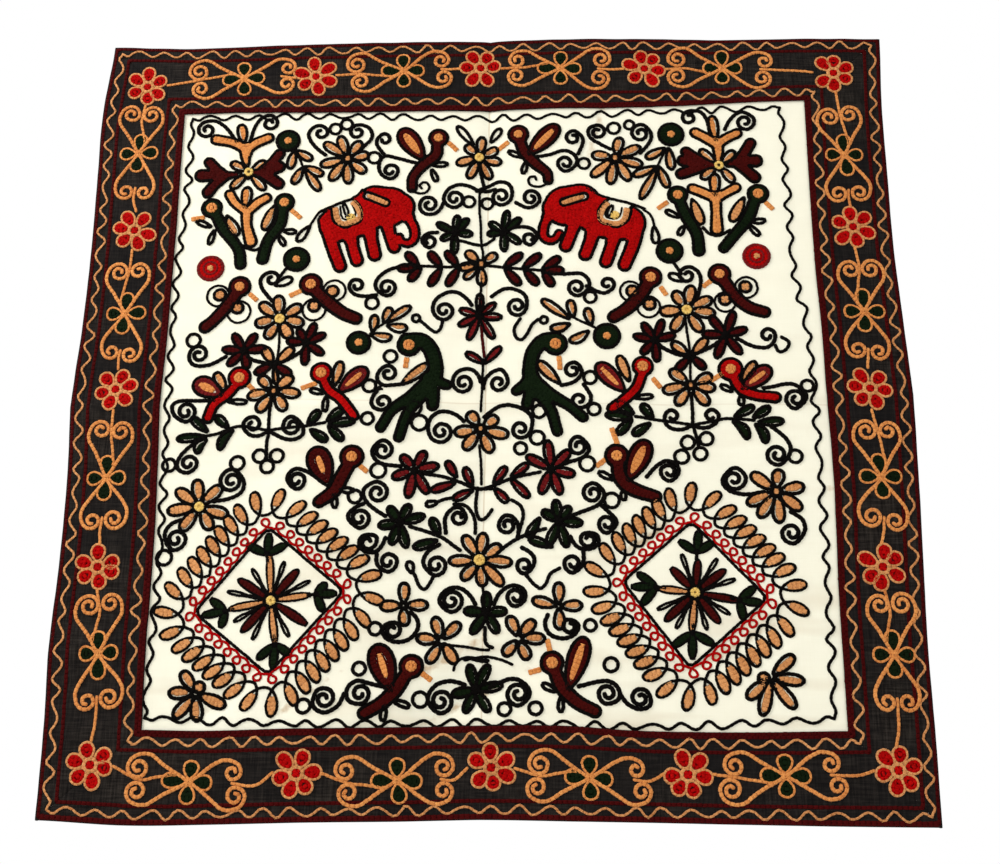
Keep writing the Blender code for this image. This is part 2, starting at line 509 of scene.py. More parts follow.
@dataclass(frozen=True)
class PlainCotton:
    """Plain-woven cotton, with its threads, slubs, soft patches of tone, and painted shade on creases and
    wrinkles.
    """

    name: str
    slot: str
    light: Colour
    dark: Colour
    shade: Colour
    thread_pitch: float
    thread_depth: float
    roughness: float
    sheen: float
    slubs: float
    contrast: float
    patchy: float
    # strength of the painted shade lines along the creases; at 0 there is no painted shade at all
    pressed: float
    # the tan colour of the painted shade on creases, slack wrinkles and low diagonal bands
    painted_shade: Colour = (0.62, 0.48, 0.31)
    # how far the painted shade line along a crease wanders, its half width, and its strength
    crease_shade_wander: ClassVar[float] = 0.006
    crease_shade_half_width: ClassVar[float] = 0.0012
    crease_shade_strength: ClassVar[float] = 1.6

    def make(self) -> bpy.types.Material:
        """Builds the material.

        Returns:
            the material
        """
        finish = Finish(self.name)
        place = finish.coordinates()
        apart = finish.node("ShaderNodeSeparateXYZ", "X", Vector=place)
        height = Socket(finish.tree, apart.output.node.outputs["Z"])
        turns = 2 * math.pi / self.thread_pitch
        warp = (apart * turns).maths("SINE", apart * turns, 0.0)
        weft = (height * turns).maths("SINE", height * turns, 0.0)
        weave = (warp * weft) * 0.5 + 0.5
        slub_up = finish.drawn_out(place, (self.slubs, 60, 44), 1.0)
        slub_on = finish.drawn_out(place, (44, 60, self.slubs), 1.0)
        slubs = (slub_up + slub_on) * 0.5
        patches = finish.noise(place, 9.0, 3.0, 0.55)
        grain = (weave * 0.35 + slubs * 0.85) * 1.15 - 0.78
        tone = finish.node("ShaderNodeClamp", Value=grain * self.contrast + 0.5)
        thread = finish.blend(tone, self.dark, self.light)
        patch = finish.node(
            "ShaderNodeValToRGB", settings={"stops": [(0.34, 0.0), (0.72, 1.0)]}, Fac=patches
        )
        tint = finish.blend(patch * self.patchy, thread, self.shade)
        # painted shade: dark tan lines along the creases, diagonal bands lower down, and marks along the
        # slack wrinkles
        if self.pressed:
            # thin lines of painted shade along the upright and the level crease
            upright = self.crease_shade_line(apart, -HungCloth.upright_crease.x, patches)
            level = self.crease_shade_line(height, apart * 0.014 + HungCloth.level_crease.down, patches)
            # broken diagonal bands of painted shade, stronger towards the bottom
            turned = finish.node(
                "ShaderNodeMapping", Vector=place, Rotation=(0.0, -0.6, 0.0), Scale=(5.0, 5.0, 26.0)
            )
            shade_streaks = finish.node("ShaderNodeClamp", Value=finish.noise(turned, 1.0, 2.0, 0.6) * 5.0 - 2.55)
            low = finish.node("ShaderNodeClamp", Value=height * -1.5 - 0.35)
            painted_shade = (upright + level * 0.45) * self.pressed + shade_streaks * low * 0.5
            uneven = finish.noise(place, 60.0, 3.0, 0.65)
            # painted shade along each slack wrinkle
            for wrinkle in HungCloth.wrinkles:
                painted_shade = painted_shade + self.wrinkle_shade(finish, place, wrinkle, uneven) * 2.0
            painted_shade = finish.node("ShaderNodeClamp", Value=painted_shade)
            tint = finish.blend(painted_shade, tint, self.painted_shade)
        finish.wire("Base Color", tint)
        finish.wire("Roughness", slubs * 0.12 + (self.roughness - 0.06))
        finish.wire("Sheen Weight", self.sheen)
        finish.wire("Sheen Roughness", 0.5)
        finish.wire("Specular IOR Level", 0.08)
        finish.bump(weave * 0.6 + slubs * 0.8, self.thread_depth)
        return finish.material

    @staticmethod
    def wrinkle_shade(finish: Finish, place: Socket, wrinkle: Wrinkle, uneven: Socket) -> Socket:
        """How strongly painted shade darkens the cloth along a slack wrinkle, as a thin broken streak.

        Args:
            finish: the material
            place: the object's coordinates
            wrinkle: the wrinkle
            uneven: soft noise that breaks it up
        Returns:
            a value that is 0 away from it
        """
        turned = finish.node(
            "ShaderNodeMapping",
            settings={"vector_type": "TEXTURE"},
            Vector=place,
            Location=(wrinkle.x, 0.0, -wrinkle.down),
            Rotation=(0.0, math.radians(-wrinkle.degrees), 0.0),
            Scale=(wrinkle.length * 0.5, 9.0, wrinkle.width * 0.2),
        )
        far = finish.node("ShaderNodeVectorMath", "Value", {"operation": "LENGTH"}, Vector=turned)
        return finish.node("ShaderNodeClamp", Value=uneven * 2.4 - far - 0.45) * uneven

    def crease_shade_line(self, place: Socket, before: Socket | float, uneven: Socket) -> Socket:
        """How strongly painted shade along a pressed crease shows: a thin uneven line where place + before is
        0.

        Args:
            place: the coordinate across the crease
            before: what is added to it so that it is 0 there
            uneven: soft noise that breaks it up
        Returns:
            a value that is 0 away from it
        """
        away = place + before + (uneven - 0.5) * self.crease_shade_wander
        away = away.maths("ABSOLUTE", away, 0.0)
        near = 1.0 - away / self.crease_shade_half_width
        return near.maths("MAXIMUM", near, 0.0) * uneven * self.crease_shade_strength


@dataclass(frozen=True)
class YarnFinish:
    """Thick yarn: two tones of one dye, a fine twist and a soft bloom of fibres."""

    name: str
    slot: str
    light: Colour
    dark: Colour
    roughness: float = 0.72
    sheen: float = 0.06
    specular: float = 0.12

    def make(self) -> bpy.types.Material:
        """Builds the material.

        Returns:
            the material
        """
        finish = Finish(self.name)
        place = finish.coordinates()
        stitch_tone = finish.node("ShaderNodeAttribute", "Fac", {"attribute_name": "tone"})
        fibres = finish.drawn_out(place, (950, 500, 950), 2.0)
        dye = finish.noise(place, 45.0, 2.0)
        tone = finish.node("ShaderNodeClamp", Value=stitch_tone * 0.5 + fibres * 1.5 + dye * 0.4 - 0.7)
        finish.wire("Base Color", finish.blend(tone, self.dark, self.light))
        finish.wire("Roughness", fibres * 0.16 + (self.roughness - 0.08))
        finish.wire("Sheen Weight", self.sheen)
        finish.wire("Sheen Roughness", 0.45)
        finish.wire("Specular IOR Level", self.specular)
        finish.bump(fibres, 0.00025, 0.8)
        return finish.material


class Dye(Enum):
    """The yarns of the embroidery."""

    BLACK = YarnFinish(
        "black_yarn", "black_cotton", (0.0055, 0.0042, 0.0036), (0.0010, 0.0007, 0.0006), 0.85, 0.0, 0.04
    )
    ORANGE = YarnFinish("orange_yarn", "ivory_cotton", (0.85, 0.405, 0.150), (0.40, 0.135, 0.034))
    AMBER = YarnFinish("amber_yarn", "ivory_cotton", (0.92, 0.395, 0.108), (0.48, 0.13, 0.024))
    RED = YarnFinish(
        "red_yarn", "ivory_cotton", (0.60, 0.003, 0.003), (0.20, 0.0008, 0.0008), 0.72, 0.0, 0.03
    )
    CRIMSON = YarnFinish(
        "crimson_yarn", "ivory_cotton", (0.24, 0.005, 0.006), (0.07, 0.001, 0.001), sheen=0.02
    )
    MAROON = YarnFinish(
        "maroon_yarn", "black_cotton", (0.078, 0.0028, 0.0028), (0.030, 0.0008, 0.0008), 0.8, 0.0, 0.05
    )
    WINE = YarnFinish(
        "wine_yarn", "black_cotton", (0.076, 0.0030, 0.0018), (0.028, 0.0008, 0.0005), 0.8, 0.0, 0.06
    )
    GREEN = YarnFinish(
        "green_yarn", "black_cotton", (0.0065, 0.0150, 0.0034), (0.0014, 0.0050, 0.0008), 0.8, 0.0, 0.06
    )
    YELLOW = YarnFinish("yellow_yarn", "ivory_cotton", (0.92, 0.66, 0.20), (0.72, 0.42, 0.08))

    @property
    def deep(self) -> bool:
        """Whether it is one of the dark yarns that fill petals."""
        return self in (Dye.RED, Dye.CRIMSON, Dye.MAROON, Dye.WINE, Dye.GREEN)


def spots(*numbers: float) -> np.ndarray:
    """Places from the chart, written as x, down, x, down in millimetres."""
    return np.array(numbers, float).reshape(-1, 2) * MM


def spot(x: float, down: float) -> np.ndarray:
    """One place from the chart, in millimetres."""
    return np.array((x, down), float) * MM


def pairs(numbers: tuple[float, ...]) -> Iterator[tuple[np.ndarray, np.ndarray]]:
    """Places from the chart, two at a time."""
    ends = spots(*numbers)
    return zip(ends[::2], ends[1::2])


def unit(vector: np.ndarray) -> np.ndarray:
    """A vector's direction, with a length of 1."""
    return vector / np.linalg.norm(vector)


def reach_along(line: np.ndarray) -> np.ndarray:
    """How far along a line each of its points is."""
    return np.concatenate(((0.0,), np.cumsum(np.linalg.norm(np.diff(line, axis=0), axis=1))))


def places_on(line: np.ndarray, reach: np.ndarray, where: np.ndarray) -> np.ndarray:
    """Places at distances along a line, where reach is how far along its own points are."""
    return np.stack([np.interp(where, reach, line[:, axis]) for axis in (0, 1)], 1)


def asides_of(line: np.ndarray) -> np.ndarray:
    """The way aside from a line at each of its points, with a length of 1.

    Args:
        line: the line's points
    Returns:
        a vector for each point
    """
    way = np.gradient(line, axis=0)
    way /= np.maximum(np.linalg.norm(way, axis=1, keepdims=True), 1e-9)
    return np.stack((-way[:, 1], way[:, 0]), 1)


def smooth(points: np.ndarray, closed: bool = False, step: float = 0.0012) -> np.ndarray:
    """A smooth line through points.

    Args:
        points: the places that it passes
        closed: whether it comes back to its start
        step: about how far apart its own points are
    Returns:
        the line's points
    """
    if len(points) == 2 and not closed:
        return np.linspace(points[0], points[1], max(2, int(math.dist(*points) / step)))
    if closed:
        around = np.vstack((points[-1], points, points[:2]))
    else:
        around = np.vstack((2 * points[0] - points[1], points, 2 * points[-1] - points[-2]))
    line = []
    for before, here, after, beyond in zip(around, around[1:], around[2:], around[3:]):
        count = max(2, int(np.linalg.norm(after - here) / step))
        t = np.arange(count)[:, None] / count
        line.append(
            here
            + t * (after - before) / 2
            + t**2 * (before - 2.5 * here + 2 * after - beyond / 2)
            + t**3 * (1.5 * here - before / 2 - 1.5 * after + beyond / 2)
        )
    line.append(points[:1] if closed else points[-1:])
    return np.vstack(line)


def circle(centre: np.ndarray, radius: float, points: int = 36) -> np.ndarray:
    """A closed round line."""
    angle = np.linspace(0, 2 * math.pi, points + 1)
    return centre + np.stack((radius * np.cos(angle), radius * np.sin(angle)), 1)


def teardrop(base: np.ndarray, tip: np.ndarray, width: float, blunt: float, bend: float = 0.0) -> np.ndarray:
    """A petal's closed line, narrow at its base and round at its tip.

    Args:
        base: where it starts
        tip: where it ends
        width: its greatest width
        blunt: how far the width is drawn to the tip; 0 is an oval
        bend: how far its middle is pushed aside, as a share of its length
    Returns:
        the line's points
    """
    angle = np.linspace(0, 2 * math.pi, 41)
    along = (1 - np.cos(angle)) / 2
    side = np.sin(angle) * np.abs(np.sin(angle / 2)) ** blunt
    side *= width / 2 / side.max()
    axis = tip - base
    across = np.array((-axis[1], axis[0])) / np.linalg.norm(axis)
    shift = bend * np.linalg.norm(axis) * np.sin(math.pi * along)
    return base + along[:, None] * axis + (side + shift)[:, None] * across


def ease(line: np.ndarray, rounds: int) -> np.ndarray:
    """An open line with its corners rounded off; its ends stay.

    Args:
        line: the line's points
        rounds: how often it is evened out
    Returns:
        the eased line
    """
    eased = line.copy()
    for _ in range(rounds):
        eased[1:-1] = (eased[:-2] + 2 * eased[1:-1] + eased[2:]) / 4
    return eased


def coil(centre: np.ndarray, radius: float, tail: np.ndarray, gap: float, eye: float) -> np.ndarray:
    """A scroll: a coil wound from its eye out to where its tail leaves it, and the tail.

    Args:
        centre: middle of the coil
        radius: its outer radius
        tail: the points of the line that leaves it
        gap: how far apart its turns are
        eye: radius at which it starts
    Returns:
        the line's points
    """
    arm, way = tail[0] - centre, tail[1] - tail[0]
    turn = 1.0 if arm[0] * way[1] - arm[1] * way[0] > 0 else -1.0
    end = math.atan2(arm[1], arm[0])
    back = np.linspace((radius - eye) / gap * 2 * math.pi, 0.45, 24)
    reach = np.linalg.norm(arm) - radius
    out = radius - gap * back / (2 * math.pi) + reach * np.exp(-back / 0.5)
    angle = end - turn * back
    wound = centre + out[:, None] * np.stack((np.cos(angle), np.sin(angle)), 1)
    line = smooth(np.vstack((wound, tail)))
    far = reach_along(line)
    join = far[np.linalg.norm(line - tail[0], axis=1).argmin()]
    share = np.clip((far - join) / (14 * MM) + 1.5, 0.0, 1.0)
    return line + share[:, None] * (ease(line, 22) - line)


def contours(values: np.ndarray, origin: np.ndarray, step: float, level: float) -> list[np.ndarray]:
    """The closed lines on which a grid of values has one level.

    Args:
        values: the grid, by row and column
        origin: the place of its first value
        step: distance between its values
        level: the level
    Returns:
        a list of lines
    """
    inside = values > level
    mixed = inside[:-1, :-1].astype(int) + inside[1:, :-1] + inside[:-1, 1:] + inside[1:, 1:]
    places: dict = {}
    links: dict = {}
    for row, column in np.argwhere((mixed > 0) & (mixed < 4)).tolist():
        corners = [(row, column), (row, column + 1), (row + 1, column + 1), (row + 1, column)]
        crossed = []
        for one, other in zip(corners, corners[1:] + corners[:1]):
            if inside[one] == inside[other]:
                continue
            low, high = min(one, other), max(one, other)
            share = (level - values[low]) / (values[high] - values[low])
            grid = np.array(low) + share * (np.array(high) - np.array(low))
            places[low, high] = origin + grid[::-1] * step
            crossed.append((low, high))
        for one, other in zip(crossed[::2], crossed[1::2]):
            links.setdefault(one, []).append(other)
            links.setdefault(other, []).append(one)
    lines = []
    while links:
        here = next(iter(links))
        chain = [here]
        while links.get(here):
            after = links[here].pop()
            links[after].remove(here)
            if not links[here]:
                del links[here]
            chain.append(after)
            here = after
        links.pop(here, None)
        lines.append(np.array([places[key] for key in chain]))
    return lines


def soften(line: np.ndarray, rounds: int = 2) -> np.ndarray:
    """A closed line with its small steps evened out.

    Args:
        line: the line's points
        rounds: how often it is evened out
    Returns:
        the softened line
    """
    ring = line[:-1]
    for _ in range(rounds):
        ring = (np.roll(ring, 1, 0) + 2 * ring + np.roll(ring, -1, 0)) / 4
    return np.vstack((ring, ring[:1]))


class Section(NamedTuple):
    """A cut across a stitch: its place along, and the half widths and heights of its edge and strands."""

    along: float
    edge: float
    strand: float
    rise: float
    valley: float


@dataclass(frozen=True)
class ChainStitch:
    """One stitch of the chain: a drop of two plump strands with a valley between them.

    The sizes along are shares of the stitch's length, and the others are shares of its width.
    """

    tail: float = -0.72
    tail_half: float = 0.32
    tail_rise: float = 0.15
    front: float = 0.66
    front_half: float = 0.30
    front_rise: float = 0.22
    sections: tuple[Section, ...] = (
        Section(-0.34, 0.50, 0.22, 0.34, 0.18),
        Section(0.28, 0.53, 0.27, 0.42, 0.20),
    )

    def shape(self) -> tuple[np.ndarray, list[tuple[int, ...]]]:
        """The stitch's points and its faces, which look outward once the cloth's down is the world's -Z.

        Returns:
            the points, in shares of the stitch's size, and the faces
        """
        points = [(self.tail, -self.tail_half, self.tail_rise), (self.tail, self.tail_half, self.tail_rise)]
        for along, edge, strand, rise, valley in self.sections:
            points += [(along, -edge, 0.0), (along, -strand, rise), (along, 0.0, valley)]
            points += [(along, strand, rise), (along, edge, 0.0)]
        points += [(self.front, side * self.front_half, self.front_rise) for side in (-1, 1)]
        faces = [(0, 2, 3), (0, 3, 4), (0, 4, 1), (1, 4, 5), (1, 5, 6)]
        faces += [(2 + step, 7 + step, 8 + step, 3 + step) for step in range(4)]
        faces += [(7, 12, 8), (8, 12, 9), (9, 12, 13), (9, 13, 10), (10, 13, 11), (0, 1, 6, 11, 13, 12, 7, 2)]
        return np.array(points), [tuple(reversed(face)) for face in faces]


class Stitches:
    """Chain stitch in one yarn, gathered line by line before it becomes one mesh."""

    stitch = ChainStitch()
    back_pitch = 0.008
    most_height = 0.0042
    back_width = 0.0018
    back_height = 0.0007
    back_sunk = -0.0002
    back_tone = 0.4
    turn_spread = 0.05
    place_spread = 0.00010
    tone_spread = 0.13
    row_tone_spread = 0.1

    def __init__(self, seed: int) -> None:
        """Starts with no stitches.

        Args:
            seed: for the stitches' small unevenness
        """
        self.rows: list[np.ndarray] = []
        self.backs: list[np.ndarray] = []
        self.random = np.random.default_rng(seed)

    def follow(self, line: np.ndarray, pitch: float, width: float, lift: float, back: bool = True) -> None:
        """Sews a row of stitches along a line.

        Args:
            line: the line's points, close together
            pitch: about how long a stitch is
            width: how wide the chain is
            lift: how high its base is over the cloth
            back: whether the row also shows on the cloth's back
        """
        reach = reach_along(line)
        count = max(1, round(reach[-1] / pitch))
        length = reach[-1] / count
        middle = (np.arange(count) + 0.5) * length
        way = places_on(line, reach, middle + length * 0.4) - places_on(line, reach, middle - length * 0.4)
        angle = np.arctan2(way[:, 1], way[:, 0]) + self.random.normal(0.0, self.turn_spread, count)
        place = places_on(line, reach, middle) + self.random.normal(0.0, self.place_spread, (count, 2))
        tone = self.random.normal(0.5, self.tone_spread, count)
        tone = np.clip(tone + self.random.normal(0.0, self.row_tone_spread), 0.0, 1.0)
        same = np.ones(count)
        self.rows.append(np.column_stack((place, angle, same * length, same * width, same * lift, tone)))
        if back:
            where = np.linspace(0, reach[-1], max(2, round(reach[-1] / self.back_pitch) + 1))
            self.backs.append(places_on(line, reach, where))

    def front_mesh(self, cloth: HungCloth, raised: float) -> tuple[np.ndarray, ...]:
        """All stitches of the face.

        Args:
            cloth: the hung cloth
            raised: how far the sewn sheet's face lies before the panel's
        Returns:
            points, corners' points, faces' first corners, and points' tones
        """
        shape, faces = self.stitch.shape()
        x, down, angle, length, width, lift, tone = np.vstack(self.rows).T[:, :, None]
        along, aside = shape[:, 0] * length, shape[:, 1] * width
        px = x + along * np.cos(angle) - aside * np.sin(angle)
        pd = down + along * np.sin(angle) + aside * np.cos(angle)
        out = lift + shape[:, 2] * np.minimum(width, self.most_height)
        points = np.stack((px, cloth.depth(px, pd) - raised - out, -pd), -1).reshape(-1, 3)
        corners = np.array([corner for face in faces for corner in face])
        firsts = np.cumsum([0] + [len(face) for face in faces[:-1]])
        many = np.arange(len(x))[:, None]
        return (
            points,
            (many * len(shape) + corners).ravel(),
            (many * len(corners) + firsts).ravel(),
            np.broadcast_to(tone, px.shape).ravel(),
        )

    def back_mesh(self, cloth: HungCloth, behind: float) -> tuple[np.ndarray, list[int], list[int]]:
        """The lines that the yarn makes on the cloth's back, as three-sided cords.

        Args:
            cloth: the hung cloth
            behind: how far the sewn sheet's back lies behind the panel's face
        Returns:
            points, corners' points, and faces' first corners
        """
        points, corners, firsts = [], [], []
        first = 0
        for line in self.backs:
            side = asides_of(line) * self.back_width / 2
            ring = np.stack((line - side, line, line + side), 1)
            rise = np.array((self.back_sunk, self.back_height, self.back_sunk))
            depth = cloth.depth(ring[..., 0], ring[..., 1]) + behind + rise
            points.append(np.stack((ring[..., 0], depth, -ring[..., 1]), -1).reshape(-1, 3))
            count = len(line)
            faces = [(0, 1, 2), tuple(3 * (count - 1) + corner for corner in (2, 1, 0))]
            for step in range(count - 1):
                low = 3 * step
                for one, other in ((0, 1), (1, 2), (2, 0)):
                    faces.append((low + 3 + one, low + 3 + other, low + other, low + one))
            for face in faces:
                firsts.append(len(corners))
                corners.extend(first + corner for corner in face)
            first += 3 * count
        return np.vstack(points) if points else np.zeros((0, 3)), corners, firsts

    def make(self, name: str, cloth: HungCloth, raised: float, behind: float) -> bpy.types.Object:
        """Makes the piece.

        Args:
            name: its name
            cloth: the hung cloth
            raised: how far the sewn sheet's face lies before the panel's
            behind: how far its back lies behind the panel's face
        Returns:
            the object
        """
        points, corners, firsts, tones = self.front_mesh(cloth, raised)
        back_points, back_corners, back_firsts = self.back_mesh(cloth, behind)
        all_points = np.vstack((points, back_points))
        all_corners = np.concatenate((corners, np.array(back_corners, int) + len(points)))
        all_firsts = np.concatenate((firsts, np.array(back_firsts, int) + len(corners)))
        mesh = bpy.data.meshes.new(name)
        mesh.vertices.add(len(all_points))
        mesh.vertices.foreach_set("co", all_points.ravel())
        mesh.loops.add(len(all_corners))
        mesh.loops.foreach_set("vertex_index", all_corners.astype(np.int32))
        mesh.polygons.add(len(all_firsts))
        mesh.polygons.foreach_set("loop_start", all_firsts.astype(np.int32))
        mesh.update(calc_edges=True)
        mesh.validate()
        tone = mesh.attributes.new("tone", "FLOAT", "POINT")
        all_tones = np.concatenate((tones, np.full(len(back_points), self.back_tone)))
        tone.data.foreach_set("value", all_tones)
        flat = mesh.uv_layers.new(name="OFBake")
        low, high = all_points.min(0), all_points.max(0)
        span = max(high[0] - low[0], high[2] - low[2])
        across = all_points[all_corners][:, [0, 2]]
        flat.data.foreach_set("uv", ((across - low[[0, 2]]) / span * 0.98 + 0.01).ravel())
        mesh.shade_smooth()
        piece = bpy.data.objects.new(name, mesh)
        bpy.context.scene.collection.objects.link(piece)
        return piece


class Limb(NamedTuple):
    """A rounded arm of a figure, along a line, with the radius at each of its points, in millimetres."""

    line: tuple[float, ...]
    radii: tuple[float, ...]


class Needlework:
    """One sub-assembly's embroidery, sorted by yarn, on a half that may be turned over."""

    outline_width = 0.0041
    outline_pitch = 0.0045
    line_width = 0.0046
    line_pitch = 0.0050
    row_spacing = 0.0031
    row_pitch = 0.0045
    row_cover = 1.45
    outline_lift = 0.0002
    fill_lift = -0.0001
    grid_step = 0.0012

    def __init__(self, name: str, seed: int, mirror: float | None = None) -> None:
        """Starts with no stitches.

        Args:
            name: first part of its pieces' names
            seed: for the stitches' small unevenness
            mirror: the x about which its chart is turned over, in metres, or None
        """
        self.name = name
        self.seed = seed
        self.mirror = mirror
        self.random = np.random.default_rng(seed)
        self.yarns: dict[Dye, Stitches] = {}

    def sew(
        self, dye: Dye, line: np.ndarray, pitch: float, width: float, lift: float, back: bool = True
    ) -> None:
        """Sews one row of a yarn along a line of the chart.

        Args:
            dye: the yarn
            line: the line's points
            pitch: about how long a stitch is
            width: how wide the chain is
            lift: how high its base is over the cloth
            back: whether the row also shows on the cloth's back
        """
        if dye not in self.yarns:
            self.yarns[dye] = Stitches(self.seed + len(self.yarns))
        if self.mirror is not None:
            line = np.column_stack((2 * self.mirror - line[:, 0], line[:, 1]))
        self.yarns[dye].follow(line, pitch, width, lift, back)

    def line(self, dye: Dye, line: np.ndarray, width: float | None = None, back: bool = True) -> None:
        """Sews a single line of chain stitch."""
        self.sew(dye, line, self.line_pitch, width or self.line_width, self.outline_lift, back)

    def outline(self, dye: Dye, line: np.ndarray, width: float | None = None) -> None:
        """Sews the line round a filled shape."""
        self.sew(dye, line, self.outline_pitch, width or self.outline_width, self.outline_lift)

    def insets(
        self, reach: float, most: int = ALL_ROWS, clear: float | None = None
    ) -> list[tuple[float, float]]:
        """Where the rows of a filling lie inside an outline.

        Args:
            reach: how far the shape's middle is from its outline
            most: the most rows
            clear: how much the outline covers
        Returns:
            the distance of each row from the outline, and its width
        """
        covered = self.outline_width * 0.4 if clear is None else clear
        free = reach - covered
        count = max(1, round(free / self.row_spacing))
        spacing = free / count
        width = spacing * self.row_cover
        return [(covered + (row + 0.5) * spacing, width) for row in range(min(count, most))]

    def petal(
        self,
        dye: Dye | None,
        base: np.ndarray,
        tip: np.ndarray,
        width: float,
        edge: Dye = Dye.BLACK,
        blunt: float = 0.75,
        bend: float = 0.0,
        rows: int = ALL_ROWS,
        edge_width: float | None = None,
        glint: float = 0.0,
    ) -> None:
        """Sews an outlined petal with its filling.

        Args:
            dye: the filling's yarn, or None where it is empty
            base: where it starts
            tip: where it ends
            width: its width from line to line
            edge: the outline's yarn
            blunt: how far the width is drawn to the tip
            bend: how far it bends aside
            rows: the most rows of filling
            edge_width: how wide the outline's chain is, where it isn't the usual one
            glint: how far the filling is moved aside, so that a sliver of cloth shows
        """
        self.outline(edge, teardrop(base, tip, width, blunt, bend), edge_width)
        if dye is not None:
            clear = (edge_width or self.outline_width) * 0.4 + abs(glint) * 0.9
            aside = np.array((base[1] - tip[1], tip[0] - base[0])) * glint / np.linalg.norm(tip - base)
            self.filling(dye, base + aside, tip + aside, width, blunt, bend, rows, clear)

    def filling(
        self,
        dye: Dye,
        base: np.ndarray,
        tip: np.ndarray,
        width: float,
        blunt: float = 0.75,
        bend: float = 0.0,
        rows: int = ALL_ROWS,
        clear: float | None = None,
    ) -> None:
        """Sews a petal's filling alone.

        Args:
            dye: the yarn
            base: where the petal starts
            tip: where it ends
            width: its width from line to line
            blunt: how far the width is drawn to the tip
            bend: how far it bends aside
            rows: the most rows
            clear: how much the outline covers
        """
        way = unit(tip - base)
        for inset, row_width in self.insets(width / 2, rows, clear):
            inner = width - 2 * inset
            start, end = base + way * inset * 1.5, tip - way * inset
            if inner > row_width * 0.3 and np.dot(end - start, way) > row_width:
                row = teardrop(start, end, inner, blunt, bend)
            else:
                row, row_width = np.linspace(start, end, 8), row_width * 1.5
            self.sew(dye, row, self.row_pitch, row_width, self.fill_lift)

    def rows(self, dye: Dye, line: np.ndarray, count: int, spacing: float) -> None:
        """Sews rows side by side along one line.

        Args:
            dye: the yarn
            line: the line's points
            count: how many rows
            spacing: how far apart they are
        """
        aside = asides_of(line)
        for row in range(count):
            shift = (row - (count - 1) / 2) * spacing
            self.sew(dye, line + aside * shift, self.row_pitch, spacing * self.row_cover, 0.0, row == 0)

    def disc(self, dye: Dye, centre: np.ndarray, radius: float, edge: Dye | None = Dye.BLACK) -> None:
        """Sews a filled round spot, with or without a line round it.

        Args:
            dye: the yarn
            centre: its middle
            radius: its radius
            edge: the yarn of the line round it, or None
        """
        if edge is not None:
            self.outline(edge, circle(centre, radius))
        for inset, width in self.insets(radius, clear=0.0 if edge is None else None):
            ring = circle(centre, max(radius - inset, 0.0006))
            self.sew(dye, ring, self.row_pitch * 0.8, width, self.fill_lift)

    def glint(self, dye: Dye | None) -> float:
        """How far one petal's filling is moved aside: less for dark yarns, and not for the dark red ones.

        Args:
            dye: the filling's yarn
        Returns:
            the distance, to one side or the other
        """
        aside = self.random.choice((-1.0, -1.0, 0.0, 1.0, 1.0)) * MM
        share = {Dye.MAROON: 0.0, Dye.WINE: 0.0, Dye.GREEN: 0.62, Dye.CRIMSON: 0.62}.get(dye, 1.0)
        return aside * share

    def wobble(self, size: float) -> np.ndarray:
        """A small uneven shift, as two numbers of about a size."""
        return self.random.normal(0.0, size, 2)

    @staticmethod
    def limb_lines(limbs: tuple[Limb, ...]) -> tuple[list[np.ndarray], list[np.ndarray]]:
        """The middle lines of limbs, as points with the radius at each.

        Args:
            limbs: the limbs
        Returns:
            the lines, and the radii along each
        """
        lines, radii = [], []
        for limb in limbs:
            line = smooth(spots(*limb.line), step=0.001)
            share = np.linspace(0, 1, len(line))
            lines.append(line)
            radii.append(np.interp(share, np.linspace(0, 1, len(limb.radii)), limb.radii) * MM)
        return lines, radii

    @staticmethod
    def cover(x: np.ndarray, down: np.ndarray, limbs: tuple[Limb, ...]) -> np.ndarray:
        """How far each place lies inside limbs; x and down are numbers or arrays that fit each other.

        Args:
            x: places across
            down: places down
            limbs: the limbs
        Returns:
            the distance inside, or less than 0 outside
        """
        inside = np.full(np.broadcast(x, down).shape, -1.0)
        for line, radii in zip(*Needlework.limb_lines(limbs)):
            for place, radius in zip(line, radii):
                inside = np.maximum(inside, radius - np.hypot(x - place[0], down - place[1]))
        return inside

    def figure(self, dye: Dye, limbs: tuple[Limb, ...], gaps: tuple[Limb, ...] = ()) -> None:
        """Sews a figure made of limbs that run together, with one line round them all.

        Args:
            dye: the filling's yarn
            limbs: its limbs
            gaps: where the cloth is left bare
        """
        lines, radii = self.limb_lines(limbs)
        every, radius = np.vstack(lines), np.concatenate(radii)
        low = every.min(0) - radius.max() - 3 * self.grid_step
        high = every.max(0) + radius.max() + 3 * self.grid_step
        columns, rows = (np.ceil((high - low) / self.grid_step)).astype(int) + 1
        x = low[0] + np.arange(columns) * self.grid_step
        down = low[1] + np.arange(rows) * self.grid_step
        inside = self.cover(x[None, :], down[:, None], limbs)
        if gaps:
            inside = np.minimum(inside, -self.cover(x[None, :], down[:, None], gaps))
        sewn, near = [], []
        for line in contours(inside, low, self.grid_step, 0.0):
            near.append(soften(line))
            self.outline(Dye.BLACK, near[-1])
        inset = self.outline_width * 0.4 + self.row_spacing / 2
        while inset < inside.max():
            for line in contours(inside, low, self.grid_step, inset):
                if len(line) > 6:
                    row = soften(line)
                    self.sew(dye, row, self.row_pitch, self.row_spacing * self.row_cover, self.fill_lift)
                    sewn.append(row)
            inset += self.row_spacing
        self.fill_bare(dye, inside, x, down, sewn, near)

